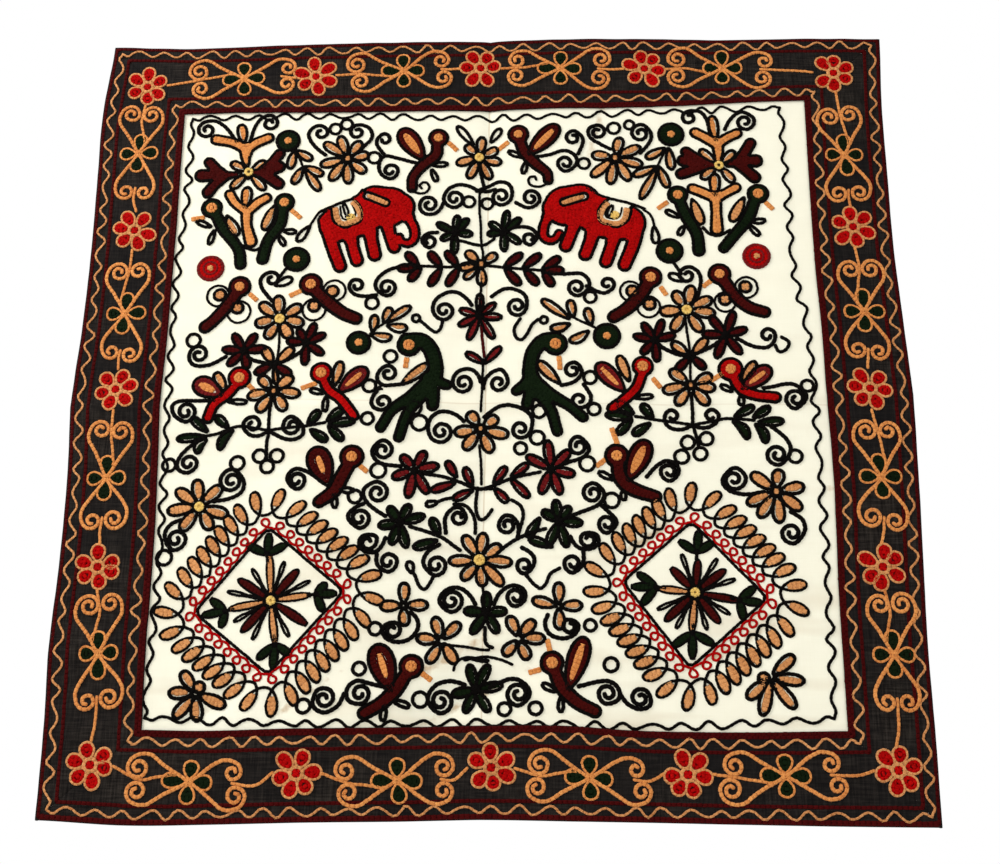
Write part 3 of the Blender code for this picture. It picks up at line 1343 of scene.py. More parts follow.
    def fill_bare(
        self,
        dye: Dye,
        inside: np.ndarray,
        x: np.ndarray,
        down: np.ndarray,
        sewn: list[np.ndarray],
        near: list[np.ndarray],
    ) -> None:
        """Sews short rows where a figure's cloth still shows between its rows.

        Args:
            dye: the filling's yarn
            inside: how far each place of the grid lies inside the figure
            x: the grid's places across
            down: the grid's places down
            sewn: the rows that are sewn
            near: its outlines
        """
        rows, columns = np.nonzero(inside > 0.0)
        bare = np.column_stack((x[columns], down[rows]))
        slope_down, slope_x = np.gradient(inside)
        way = np.column_stack((-slope_down[rows, columns], slope_x[rows, columns]))
        flat = np.linalg.norm(way, axis=1) < 1e-6
        way[flat] = (1.0, 0.0)
        way /= np.linalg.norm(way, axis=1, keepdims=True)
        away = np.full(len(bare), 1.0)
        for lines, wider in ((sewn, 0.0), (near, 0.0005)):
            for place in np.vstack(lines) if lines else ():
                away = np.minimum(away, np.hypot(*(bare - place).T) - wider)
        while len(bare) and away.max() > self.row_spacing * 0.48:
            pick = int(away.argmax())
            half = way[pick] * self.row_pitch * 0.55
            short = np.array((bare[pick] - half, bare[pick], bare[pick] + half))
            self.sew(dye, short, self.row_pitch, self.row_spacing * 1.6, self.fill_lift, False)
            for place in short:
                away = np.minimum(away, np.hypot(*(bare - place).T))

    def make(self, cloth: HungCloth, raised: float, behind: float) -> list[bpy.types.Object]:
        """Makes a piece of each yarn, dresses it and lets it ride with the cloth.

        Args:
            cloth: the hung cloth
            raised: how far the sewn sheet's face lies before the panel's
            behind: how far its back lies behind the panel's face
        Returns:
            the pieces
        """
        pieces = []
        for dye, stitches in self.yarns.items():
            piece = stitches.make(f"{self.name}_{dye.name.lower()}", cloth, raised, behind)
            piece.data.materials.append(dressed(dye.value))
            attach(piece, "root")
            stitch_count, face_count = sum(map(len, stitches.rows)), len(piece.data.polygons)
            LOG.info("%s: %d stitches, %d faces", piece.name, stitch_count, face_count)
            pieces.append(piece)
        return pieces


MATERIALS: dict[str, bpy.types.Material] = {}


def dressed(finish: PlainCotton | YarnFinish) -> bpy.types.Material:
    """A cloth's or a yarn's material, made once.

    Args:
        finish: how the cloth or yarn looks
    Returns:
        the material
    """
    if finish.name not in MATERIALS:
        MATERIALS[finish.name] = finish.make()
    return MATERIALS[finish.name]


class Motif:
    """A charted piece of the pattern that can be sewn."""

    def sew(self, work: Needlework) -> None:
        """Sews it; each kind of motif has its own way."""
        raise NotImplementedError


@dataclass(frozen=True)
class Scroll(Motif):
    """A coil and the line that leaves it."""

    x: float
    down: float
    radius: float
    tail: tuple[float, ...]
    width: float = 4.8
    gap: ClassVar[float] = 7.0
    eye: ClassVar[float] = 2.2

    def sew(self, work: Needlework) -> None:
        """Sews the coil and its tail as one line.

        Args:
            work: the embroidery that it is sewn into
        """
        centre, tail = spot(self.x, self.down), spots(*self.tail)
        line = coil(centre, self.radius * MM, tail, self.gap * MM, self.eye * MM)
        work.line(Dye.BLACK, line, self.width * MM)


@dataclass(frozen=True)
class Stem(Motif):
    """A plain line through some places."""

    places: tuple[float, ...]
    dye: Dye = Dye.BLACK
    width: float = 4.1

    def sew(self, work: Needlework) -> None:
        """Sews the line."""
        work.line(self.dye, ease(smooth(spots(*self.places)), 10), self.width * MM)


@dataclass(frozen=True)
class Rings(Motif):
    """Small open rings, each as x, down and radius."""

    rings: tuple[float, ...]
    width: float = 3.9

    def sew(self, work: Needlework) -> None:
        """Sews the rings."""
        for x, down, radius in zip(self.rings[::3], self.rings[1::3], self.rings[2::3]):
            work.line(Dye.BLACK, circle(spot(x, down), radius * MM), self.width * MM)


@dataclass(frozen=True)
class Flower(Motif):
    """Petals round an eye."""

    x: float
    down: float
    width: float
    dye: Dye
    tips: tuple[float, ...]
    eye: float = 0.0
    eye_dye: Dye = Dye.YELLOW
    start: float = 4.0

    def sew(self, work: Needlework) -> None:
        """Sews the petals and then the eye.

        Args:
            work: the embroidery that it is sewn into
        """
        centre = spot(self.x, self.down)
        deep = self.dye.deep
        start, width, blunt = (1.0, self.width * 0.86, 0.6) if deep else (self.start, self.width, 0.75)
        for tip in spots(*self.tips):
            base = centre + unit(tip - centre) * start * MM
            work.petal(self.dye, base, tip, width * MM, blunt=blunt, glint=work.glint(self.dye))
        if deep and not self.eye:
            work.sew(
                Dye.BLACK, circle(centre, 1.6 * MM, points=12),
                pitch=0.0030, width=0.0040, lift=0.0006, back=False
            )
        if self.eye:
            edge = None if self.eye_dye is Dye.YELLOW else Dye.BLACK
            work.disc(self.eye_dye, centre, self.eye * MM, edge)
            if edge is None:
                work.sew(
                    self.eye_dye, circle(centre, self.eye * 0.7 * MM),
                    pitch=0.0035, width=0.004, lift=0.0010, back=False
                )


@dataclass(frozen=True)
class Leaves(Motif):
    """Single petals or leaves, each as its base and its tip."""

    dye: Dye | None
    width: float
    leaves: tuple[float, ...]
    bend: float = 0.0

    def sew(self, work: Needlework) -> None:
        """Sews the leaves.

        Args:
            work: the embroidery that it is sewn into
        """
        width = self.width * (0.9 if self.dye and self.dye.deep else 1.0) * MM
        for base, tip in pairs(self.leaves):
            work.petal(self.dye, base, tip, width, bend=self.bend, glint=work.glint(self.dye))


@dataclass(frozen=True)
class Disc(Motif):
    """A round spot with a small eye of another yarn."""

    x: float
    down: float
    radius: float
    dye: Dye
    eye: float = 0.0
    eye_dye: Dye = Dye.AMBER

    def sew(self, work: Needlework) -> None:
        """Sews the spot's rings and its eye.

        Args:
            work: the embroidery that it is sewn into
        """
        centre = spot(self.x, self.down)
        work.disc(self.dye, centre, self.radius * MM, Dye.CRIMSON if self.dye is Dye.RED else Dye.BLACK)
        if self.dye is Dye.RED:
            work.sew(
                Dye.CRIMSON, circle(centre, self.radius * 0.55 * MM),
                pitch=0.0036, width=0.0023, lift=0.0011, back=False
            )
        if self.eye:
            work.sew(
                self.eye_dye, circle(centre, self.eye * 0.55 * MM),
                pitch=0.0032, width=0.0040, lift=0.0012, back=False
            )
            work.sew(
                self.eye_dye, circle(centre, 0.8 * MM, points=8),
                pitch=0.0026, width=0.0036, lift=0.0014, back=False
            )


@dataclass(frozen=True)
class Figure(Motif):
    """Limbs of one colour that run together, such as a body or a forked spray."""

    dye: Dye
    limbs: tuple[Limb, ...]

    def sew(self, work: Needlework) -> None:
        """Sews the figure."""
        work.figure(self.dye, self.limbs)


@dataclass(frozen=True)
class Wing(Motif):
    """A wing: an outlined drop of two rows with a drop of another yarn inside."""

    dye: Dye
    base: tuple[float, float]
    tip: tuple[float, float]
    width: float

    def sew(self, work: Needlework) -> None:
        """Sews the wing.

        Args:
            work: the embroidery that it is sewn into
        """
        base, tip = spot(*self.base), spot(*self.tip)
        way = unit(tip - base)
        rows = 2 if self.width > 24 else 1
        work.petal(self.dye, base, tip, self.width * MM, rows=rows)
        inset = work.outline_width * 0.4 + rows * work.row_spacing
        start, end = base + way * (inset * 1.6 + 0.4 * MM), tip - way * (inset + 1.0 * MM)
        inner = self.width * MM - 2 * inset - 2.2 * MM
        work.petal(Dye.AMBER, start, end, inner, self.dye, 0.3, edge_width=2.4 * MM)


@dataclass(frozen=True)
class Bird(Motif):
    """A bird: round head with an eye, body, beak, and legs as thin loops."""

    dye: Dye
    head: tuple[float, float, float]
    body: tuple[Limb, ...]
    beaks: tuple[float, ...]
    legs: tuple[float, ...] = ()
    eye: float = 5.0

    def sew(self, work: Needlework) -> None:
        """Sews the legs, the body with the head, the eye and the beak.

        Args:
            work: the embroidery that it is sewn into
        """
        x, down, radius = self.head
        for base, tip in pairs(self.legs):
            work.outline(Dye.BLACK, teardrop(base, tip, 5.5 * MM, 0.6))
        work.figure(self.dye, (Limb((x, down, x + 0.1, down), (radius, radius)), *self.body))
        work.sew(
            Dye.AMBER, circle(spot(x, down), self.eye * 0.68 * MM), pitch=0.0030, width=0.0040, lift=0.0013
        )
        work.sew(
            Dye.AMBER, circle(spot(x, down), 1.0 * MM, points=10),
            pitch=0.0028, width=0.0040, lift=0.0014, back=False
        )
        for base, tip in pairs(self.beaks):
            work.rows(Dye.AMBER, np.linspace(base, tip, 8), 2, 2.4 * MM)


# the line about which the right half is turned over, in millimetres from the cloth's centre line
PATTERN_MIDDLE = -9.5

LEFT_SCROLLS: tuple[Motif, ...] = (
    Scroll(-336, 112, 12, (-336, 100, -326, 100, -315, 108, -306, 119, -299, 130)),
    Scroll(-262, 104, 11, (-262, 93, -273, 97, -280, 111, -284, 129)),
    Scroll(-201, 118, 10, (-207, 108, -216, 119, -208, 135, -193, 148)),
    Scroll(-158, 117, 10, (-160, 107, -146, 110, -140, 124, -153, 140)),
    Rings((-184, 113, 6.5, -171, 107, 6.5, -137, 151, 7)),
    Scroll(-126, 127, 8, (-128, 118, -136, 131, -125, 148)),
    Scroll(-118, 168, 11, (-118, 179, -130, 171, -131, 157, -125, 148, -108, 152, -86, 158)),
    Scroll(-79, 188, 9, (-82, 197, -90, 196, -93, 190), width=3.3),
    Scroll(-43, 203, 13, (-56, 203, -50, 190, -37, 185, -24, 188, -13, 194, 5, 191)),
    Scroll(-72, 211, 12, (-80, 221, -69, 224, -60, 219, -55, 208)),
    Rings((-26, 207, 6.5)),
    Scroll(-71, 257, 9, (-72, 266, -80, 256, -73, 247, -60, 246)),
    Scroll(-117, 315, 11.5, (-117, 326, -130, 316, -128, 304, -117, 294, -104, 289)),
    Scroll(-151, 313, 10, (-160, 316, -153, 324, -140, 326, -127, 324)),
    Rings((-133, 334, 7)),
    Stem((-42, 255, -35, 256, -11, 262, 4, 253)),
    Scroll(-248, 304, 10, (-254, 296, -261, 303, -259, 315, -245, 332)),
    Leaves(None, 9, (-244, 312, -225, 304)),
    Stem((-242, 306, -237, 298, -231, 290)),
    Scroll(-325, 395, 12, (-336, 397, -333, 406, -320, 409, -306, 405, -293, 397)),
    Rings((-332, 378, 7.5)),
    Scroll(-334, 463, 12, (-334, 475, -347, 467, -350, 455, -342, 450, -322, 450, -302, 450)),
    Scroll(-52, 342, 13, (-65, 341, -62, 329, -49, 320, -37, 320, -26, 328, -20, 337)),
    Stem((-53, 354, -55, 364, -60, 369, -69, 363, -79, 354)),
    Rings((-83, 352, 4, -110, 398, 7, -132, 433, 7, -133, 471, 6.5)),
    Scroll(-112, 418, 10, (-114, 408, -123, 416, -124, 427, -115, 433, -104, 431, -97, 431)),
    Scroll(-117, 452, 10, (-117, 462, -128, 458, -129, 448, -120, 434)),
    Stem((-118, 437, -124, 435), width=3.2),
    Scroll(-29, 428, 12.5, (-41, 425, -36, 415, -24, 411, -14, 416, -9, 428)),
    Scroll(-52, 485, 14, (-66, 485, -66, 474, -60, 465, -49, 461, -35, 466, -26, 474)),
    Rings((-76, 475, 8.5)),
    Scroll(-259, 478, 11, (-270, 480, -262, 490, -249, 491, -241, 485)),
    Scroll(-215, 480, 12, (-215, 468, -203, 480, -203, 491, -215, 496, -229, 492, -241, 485)),
    Scroll(-327, 522, 11.5, (-330, 533, -339, 528, -338, 516, -329, 505, -315, 494)),
    Rings((-348, 524, 7, -249, 514, 7, -230, 514, 7, -240, 526, 7)),
    Stem((-240, 485, -242, 500, -241, 519)),
    Scroll(-278, 542, 14, (-277, 528, -264, 542, -266, 555, -279, 562, -297, 565)),
    Rings((-273, 522, 7.5)),
    Scroll(-334, 607, 12.5, (-338, 619, -347, 604, -342, 591, -329, 585)),
    Rings((-345, 627, 8)),
    Scroll(-207, 542, 11, (-207, 553, -218, 541, -211, 529, -200, 530, -189, 536, -176, 546)),
    Scroll(-115, 507, 12, (-117, 495, -127, 508, -121, 520, -109, 524, -93, 525)),
    Rings((-119, 530, 8)),
    Leaves(None, 6, (-54, 565, -66, 568)),
    Stem((-55, 565, -46, 561, -38, 560)),
    Scroll(-119, 555, 12.5, (-121, 542, -134, 551, -133, 562, -122, 573, -108, 582)),
    Rings((-143, 560, 7)),
    Scroll(-137, 584, 12, (-137, 596, -150, 584, -145, 574, -132, 567)),
    Scroll(-127, 610, 10, (-118, 602, -134, 603, -136, 616, -124, 622, -114, 618, -108, 604)),
    Scroll(-105, 631, 11.5, (-105, 643, -117, 634, -117, 622)),
    Scroll(-31, 581, 9.5, (-22, 583, -26, 573, -32, 569, -40, 573, -46, 583, -44, 600)),
    Stem((-37, 567, -24, 568, -14, 582, -13, 600)),
    Stem((-11, 548, -13, 570, -8, 584, 0, 580, 5, 572)),
    Scroll(-54, 634, 12, (-56, 646, -68, 633, -64, 620, -50, 611)),
    Stem((-56, 646, -61, 655, -66, 661, -72, 656, -76, 645, -80, 640)),
    Leaves(None, 7, (-79, 643, -83, 631)),
    Scroll(-98, 704, 10, (-94, 695, -108, 700, -106, 712, -92, 717, -79, 713, -71, 702, -72, 692, -80, 684)),
    Rings((-116, 703, 6.5)),
    Stem((-42, 719, -22, 721, -4, 724, 4, 724), width=3.2),
    Scroll(-37, 672, 13, (-38, 685, -50, 674, -46, 663, -33, 657, -19, 664, -11, 677)),
    Scroll(-46, 777, 13, (-48, 790, -60, 777, -54, 763, -42, 757, -30, 757, -20, 761)),
    Rings((-67, 776, 7.5)),
    Stem((3, 735, -20, 732, -31, 738, -33, 746), width=3.2),
    Scroll(-129, 771, 11, (-126, 782, -141, 779, -143, 766, -133, 757, -117, 761, -100, 764)),
    Rings((-131, 745, 6.5, -187, 784, 7)),
    Scroll(-166, 776, 12, (-174, 767, -178, 783, -166, 791, -151, 784, -145, 770)),
)

RIGHT_SCROLLS: tuple[Motif, ...] = (
    Scroll(-312, 108, 12, (-322, 102, -308, 94, -295, 104, -288, 119)),
    Scroll(-248, 101, 10, (-248, 92, -262, 94, -269, 108, -271, 124)),
    Scroll(-191, 121, 12, (-194, 109, -204, 122, -200, 135, -189, 148)),
    Rings((-178, 110, 5.5, -160, 114, 7)),
    Scroll(-141, 118, 10, (-143, 108, -131, 113, -132, 125, -157, 142)),
    Rings((-125, 159, 6.5)),
    Scroll(-113, 126, 10, (-114, 116, -125, 128, -118, 148)),
    Scroll(-104, 159, 11, (-106, 170, -117, 160, -115, 148, -102, 142, -86, 148, -69, 150)),
    Scroll(-67, 180, 8, (-70, 189, -79, 188, -84, 182), width=3.3),
    Scroll(-30, 200, 13, (-43, 199, -40, 186, -28, 181, -13, 188, 0, 194)),
    Scroll(-64, 203, 11.5, (-74, 208, -67, 215, -57, 215, -46, 208)),
    Rings((-14, 209, 6.5)),
    Scroll(-63, 254, 9, (-65, 263, -72, 250, -62, 240, -44, 240)),
    Scroll(-116, 315, 11, (-118, 326, -128, 319, -131, 310, -122, 298, -100, 299)),
    Scroll(-150, 311, 9, (-158, 315, -147, 323, -133, 317, -126, 313)),
    Rings((-131, 327, 6.5)),
    Scroll(-240, 301, 11, (-243, 290, -253, 297, -255, 310, -250, 330)),
    Leaves(None, 8, (-236, 308, -220, 300)),
    Stem((-234, 300, -228, 290, -222, 280)),
    Scroll(-326, 375, 10, (-334, 380, -327, 389, -316, 389, -306, 386, -291, 377)),
    Stem((-334, 386, -337, 395, -346, 392, -349, 383, -340, 377)),
    Scroll(-353, 450, 12.5, (-353, 462, -365, 448, -357, 436, -346, 432, -331, 435, -317, 437)),
    Rings((-366, 435, 6.5)),
    Scroll(-49, 337, 13, (-60, 335, -58, 323, -42, 315, -31, 317, -19, 326)),
    Stem((-53, 352, -46, 364, -48, 375, -54, 378, -61, 370, -66, 359, -73, 353)),
    Rings((-79, 354, 4, -130, 423, 7, -134, 460, 6.5)),
    Scroll(-111, 414, 10, (-114, 404, -122, 416, -113, 428, -97, 432)),
    Scroll(-118, 449, 9.5, (-119, 459, -129, 455, -131, 444, -122, 430)),
    Scroll(-29, 428, 11, (-40, 425, -33, 412, -22, 415, -14, 424, -12, 436)),
    Scroll(-54, 482, 12, (-66, 481, -67, 470, -60, 461, -49, 456, -37, 454, -24, 459, -13, 469)),
    Rings((-72, 492, 7.5, -54, 504, 6.5)),
    Scroll(-261, 468, 9, (-270, 470, -263, 479, -250, 482, -241, 478)),
    Scroll(-219, 468, 9, (-210, 470, -213, 480, -228, 484, -241, 478)),
    Scroll(-330, 513, 12.5, (-333, 525, -344, 512, -344, 501, -337, 491, -324, 480)),
    Rings((-349, 515, 7, -255, 494, 7, -235, 498, 7, -248, 511, 7)),
    Stem((-241, 478, -244, 490, -247, 504)),
    Scroll(-283, 540, 14, (-283, 526, -270, 540, -277, 552, -295, 557, -315, 554)),
    Scroll(-341, 600, 12, (-344, 612, -355, 598, -353, 585, -340, 576)),
    Scroll(-214, 531, 11, (-216, 542, -225, 532, -222, 522, -211, 518, -200, 525, -189, 538)),
    Rings((-228, 514, 7.5)),
    Scroll(-117, 502, 11.5, (-117, 490, -129, 504, -122, 515, -109, 519, -96, 524)),
    Rings((-126, 522, 8)),
    Scroll(-132, 555, 12, (-134, 543, -145, 556, -138, 568, -124, 574, -106, 581)),
    Rings((-152, 563, 8)),
    Scroll(-147, 589, 11, (-147, 600, -158, 588, -150, 577, -140, 568)),
    Scroll(-127, 606, 10, (-120, 599, -136, 600, -137, 612, -126, 617, -114, 614, -107, 602)),
    Scroll(-110, 632, 11, (-110, 643, -121, 633, -121, 618)),
    Scroll(-40, 590, 10, (-30, 592, -34, 581, -41, 578, -49, 583, -53, 594, -51, 605)),
    Stem((-44, 562, -53, 567, -57, 574, -57, 582, -51, 604)),
    Scroll(-59, 634, 10, (-60, 644, -69, 634, -68, 622, -55, 614)),
    Stem((-60, 644, -68, 653, -76, 659, -82, 653, -86, 643, -97, 637)),
    Scroll(-107, 699, 9, (-103, 691, -116, 696, -113, 707, -100, 712, -86, 708, -80, 697, -84, 686)),
    Rings((-128, 698, 6)),
    Scroll(-50, 668, 11, (-51, 679, -61, 669, -58, 659, -46, 655, -33, 663, -26, 677)),
    Scroll(-53, 769, 13, (-55, 782, -66, 769, -58, 757, -46, 753, -32, 758, -22, 763)),
    Rings((-71, 784, 6.5, -39, 785, 6.5)),
    Stem((3, 735, -20, 731, -38, 735, -47, 739), width=3.2),
    Scroll(-145, 769, 11, (-143, 780, -157, 775, -157, 764, -148, 756, -133, 757, -114, 762)),
    Rings((-149, 739, 7)),
    Scroll(-179, 773, 11, (-186, 765, -190, 779, -180, 785, -167, 781, -158, 770)),
)

LEFT_FLOWERS: tuple[Motif, ...] = (
    Stem((-285, 160, -283, 178)),
    Flower(-283, 168, 9.5, Dye.ORANGE, (-304, 156, -264, 155, -302, 189, -263, 191), 5),
    Disc(-239, 128, 13, Dye.GREEN, 4.5),
    Stem((-231, 140, -224, 152, -219, 165), width=3.2),
    Leaves(Dye.ORANGE, 9.5, (-231, 141, -235, 164, -229, 141, -210, 153, -220, 163, -230, 184)),
    Leaves(Dye.ORANGE, 9.5, (-218, 162, -196, 173, -217, 166, -199, 193)),
    Disc(-319, 290, 14, Dye.RED, 3, Dye.ORANGE),
    Disc(-221, 280, 14, Dye.GREEN, 4.5),
    Flower(
        -168, 152, 11, Dye.ORANGE,
        (-178, 123, -154, 130, -144, 147, -147, 170, -166, 184, -187, 180, -199, 160, -196, 132),
        4.5, Dye.ORANGE,
    ),
    Stem((-15, 160, -12, 176, -9, 188), width=4.5),
    Flower(
        -15, 150, 10, Dye.ORANGE, (-12, 124, 6, 139, 10, 157, -2, 177, -27, 177, -41, 158, -31, 135), 5
    ),
    Leaves(None, 8, (-22, 134, -41, 110, -2, 130, 9, 113)),
    Stem((-14, 194, -14, 215, -12, 239, -11, 262, -9, 272, -10, 283), width=3.2),
    Flower(-41, 246, 9, Dye.GREEN, (-39, 225, -27, 229, -22, 248, -42, 272, -57, 255, -62, 235)),
    Stem((-104, 290, -80, 288, -50, 289, -25, 286, -13, 286), width=3.8),
    Leaves(Dye.MAROON, 10, (-82, 288, -96, 272, -84, 290, -105, 291, -79, 290, -92, 306)),
    Leaves(Dye.MAROON, 10, (-56, 289, -70, 271, -56, 290, -69, 312, -37, 288, -51, 270, -36, 289, -49, 312)),
    Flower(-11, 285, 10, Dye.ORANGE, (-28, 270, -35, 290, -10, 311, 6, 273), 4.5, Dye.ORANGE),
    Leaves(Dye.ORANGE, 8, (-15, 291, -30, 303)),
    Stem((-10, 300, -11, 320, -12, 344), width=3.2),
    Stem((-236, 360, -235, 382, -236, 400, -239, 407), width=3.2),
    Flower(
        -236, 353, 12, Dye.ORANGE,
        (-239, 325, -213, 337, -209, 359, -223, 376, -250, 376, -263, 359, -259, 334), 5.5
    ),
    Flower(-274, 391, 10, Dye.MAROON, (-287, 371, -262, 371, -249, 388, -269, 412, -291, 408, -298, 389)),
    Flower(
        -205, 382, 9.5, Dye.MAROON, (-214, 366, -196, 359, -184, 372, -185, 396, -205, 408, -226, 380)
    ),
    Leaves(Dye.ORANGE, 10, (-241, 406, -251.5, 387.5, -236, 406, -219, 388)),
    Leaves(Dye.MAROON, 10, (-241, 408, -260, 418, -239, 408, -220, 420)),
    Stem((-274, 393, -266, 401, -253, 405, -240, 408), width=5.0),
    Stem((-205, 384, -209, 392, -219, 399, -231, 405, -240, 408), width=5.0),
    Leaves(Dye.ORANGE, 5.5, (-239, 410, -235, 431)),
    Flower(
        -238, 439, 11.5, Dye.ORANGE,
        (-254, 422, -218, 422, -209, 443, -224, 462, -254, 463, -266, 446), 4.0, Dye.ORANGE
    ),
    Stem((-239, 448, -241, 466, -241, 485), width=4.2),
    Leaves(Dye.ORANGE, 9, (-131, 369, -129, 349, -119, 358, -112, 340, -116, 357, -90, 338)),
    Leaves(Dye.ORANGE, 9.5, (-115, 361, -93, 364, -133, 372, -110, 376), bend=0.06),
    Stem((-134, 372, -124, 362, -114, 356), width=3.2),
    Disc(-146, 382, 12.5, Dye.GREEN, 4.5),
    Flower(-12, 348, 9, Dye.CRIMSON, (-12, 322, 5, 333, 12, 350, 4, 375, -24, 377, -35, 360, -34, 341)),
    Stem((-10, 360, -8, 380, -6, 398), Dye.MAROON, 3.6),
    Leaves(Dye.CRIMSON, 8.5, (-6, 405, -26, 393, -6, 405, 12, 386)),
    Stem((-7, 400, -8, 430, -9, 462), width=3.0),
    Flower(-9, 481, 12, Dye.ORANGE, (-22, 463, -37, 486, -26, 505, 3, 508, 21, 489, 9, 468), 4.0, Dye.ORANGE),
    Stem((-241, 485, -256, 482, -276, 480, -297, 488, -312, 491), width=3.8),
    Leaves(Dye.GREEN, 9.5, (-286, 481, -300, 468, -308, 486, -327, 470, -311, 491, -341, 494)),
    Leaves(Dye.GREEN, 10, (-280, 484, -294, 506, -309, 494, -319, 510), bend=0.12),
    Stem((-241, 485, -222, 482, -200, 480, -178, 476), width=3.8),
    Leaves(Dye.GREEN, 10, (-198, 478, -186, 463, -195, 484, -176, 497, -177, 474, -160, 460)),
    Leaves(Dye.GREEN, 10, (-175, 478, -147, 474, -175, 480, -159, 496)),
    Flower(
        -311, 571, 12, Dye.ORANGE,
        (-316, 541, -289, 548, -280, 580, -297, 596, -329, 597, -345, 576, -337, 552), 5
    ),
    Flower(-80, 529, 11.5, Dye.CRIMSON, (-94, 513, -69, 508, -54, 524, -65, 555, -86, 560, -103, 538)),
    Stem((-70, 533, -50, 536, -33, 541, -13, 549, 5, 549), width=4.2),
    Leaves(Dye.CRIMSON, 9, (-34, 537, -45, 519, -35, 543, -61, 552, -17, 547, -25, 526, -16, 551, -37, 561)),
    Stem((-10, 500, -8, 520, -7, 545), width=3.2),
    Flower(-94, 588, 10.5, Dye.GREEN, (-106, 571, -84, 568, -68, 580, -116, 592, -102, 612, -86, 615)),
    Leaves(Dye.GREEN, 10, (-51, 601, -60, 583, -53, 607, -78, 615)),
    Stem((-84, 592, -66, 597, -48, 604, -38, 611, -28, 618), width=4.4),
    Flower(
        -8, 628, 11, Dye.ORANGE,
        (-25, 602, -4, 599, 14, 612, 26, 631, 17, 655, -4, 656, -26, 649, -40, 629), 6
    ),
    Stem((-8, 645, -3, 664, -1, 690), width=3.2),
    Flower(-87, 678, 10.5, Dye.ORANGE, (-87, 654, -111, 679, -62, 677, -85, 699), start=2.0),
    Flower(-46, 715, 11, Dye.ORANGE, (-54, 690, -28, 696, -72, 712, -60, 738, -31, 738), start=3.0),
    Flower(0, 684, 10.5, Dye.GREEN, (0, 663, -23, 683, -15, 707, 12, 706, 21, 683)),
    Stem((-1, 700, -1, 710, 0, 718, 8, 722)),
    Stem((-16, 733, -2, 736, 3, 735)),
    Flower(-10, 765, 10.5, Dye.GREEN, (-17, 740, 3, 740, 17, 760, 4, 787, -21, 788, -34, 770)),
    Flower(-300, 771, 11.5, Dye.ORANGE, (-316, 749, -328, 771, -321, 796, -297, 799, -269, 784), start=3.0),
    Disc(-297, 765, 5.5, Dye.ORANGE),
)

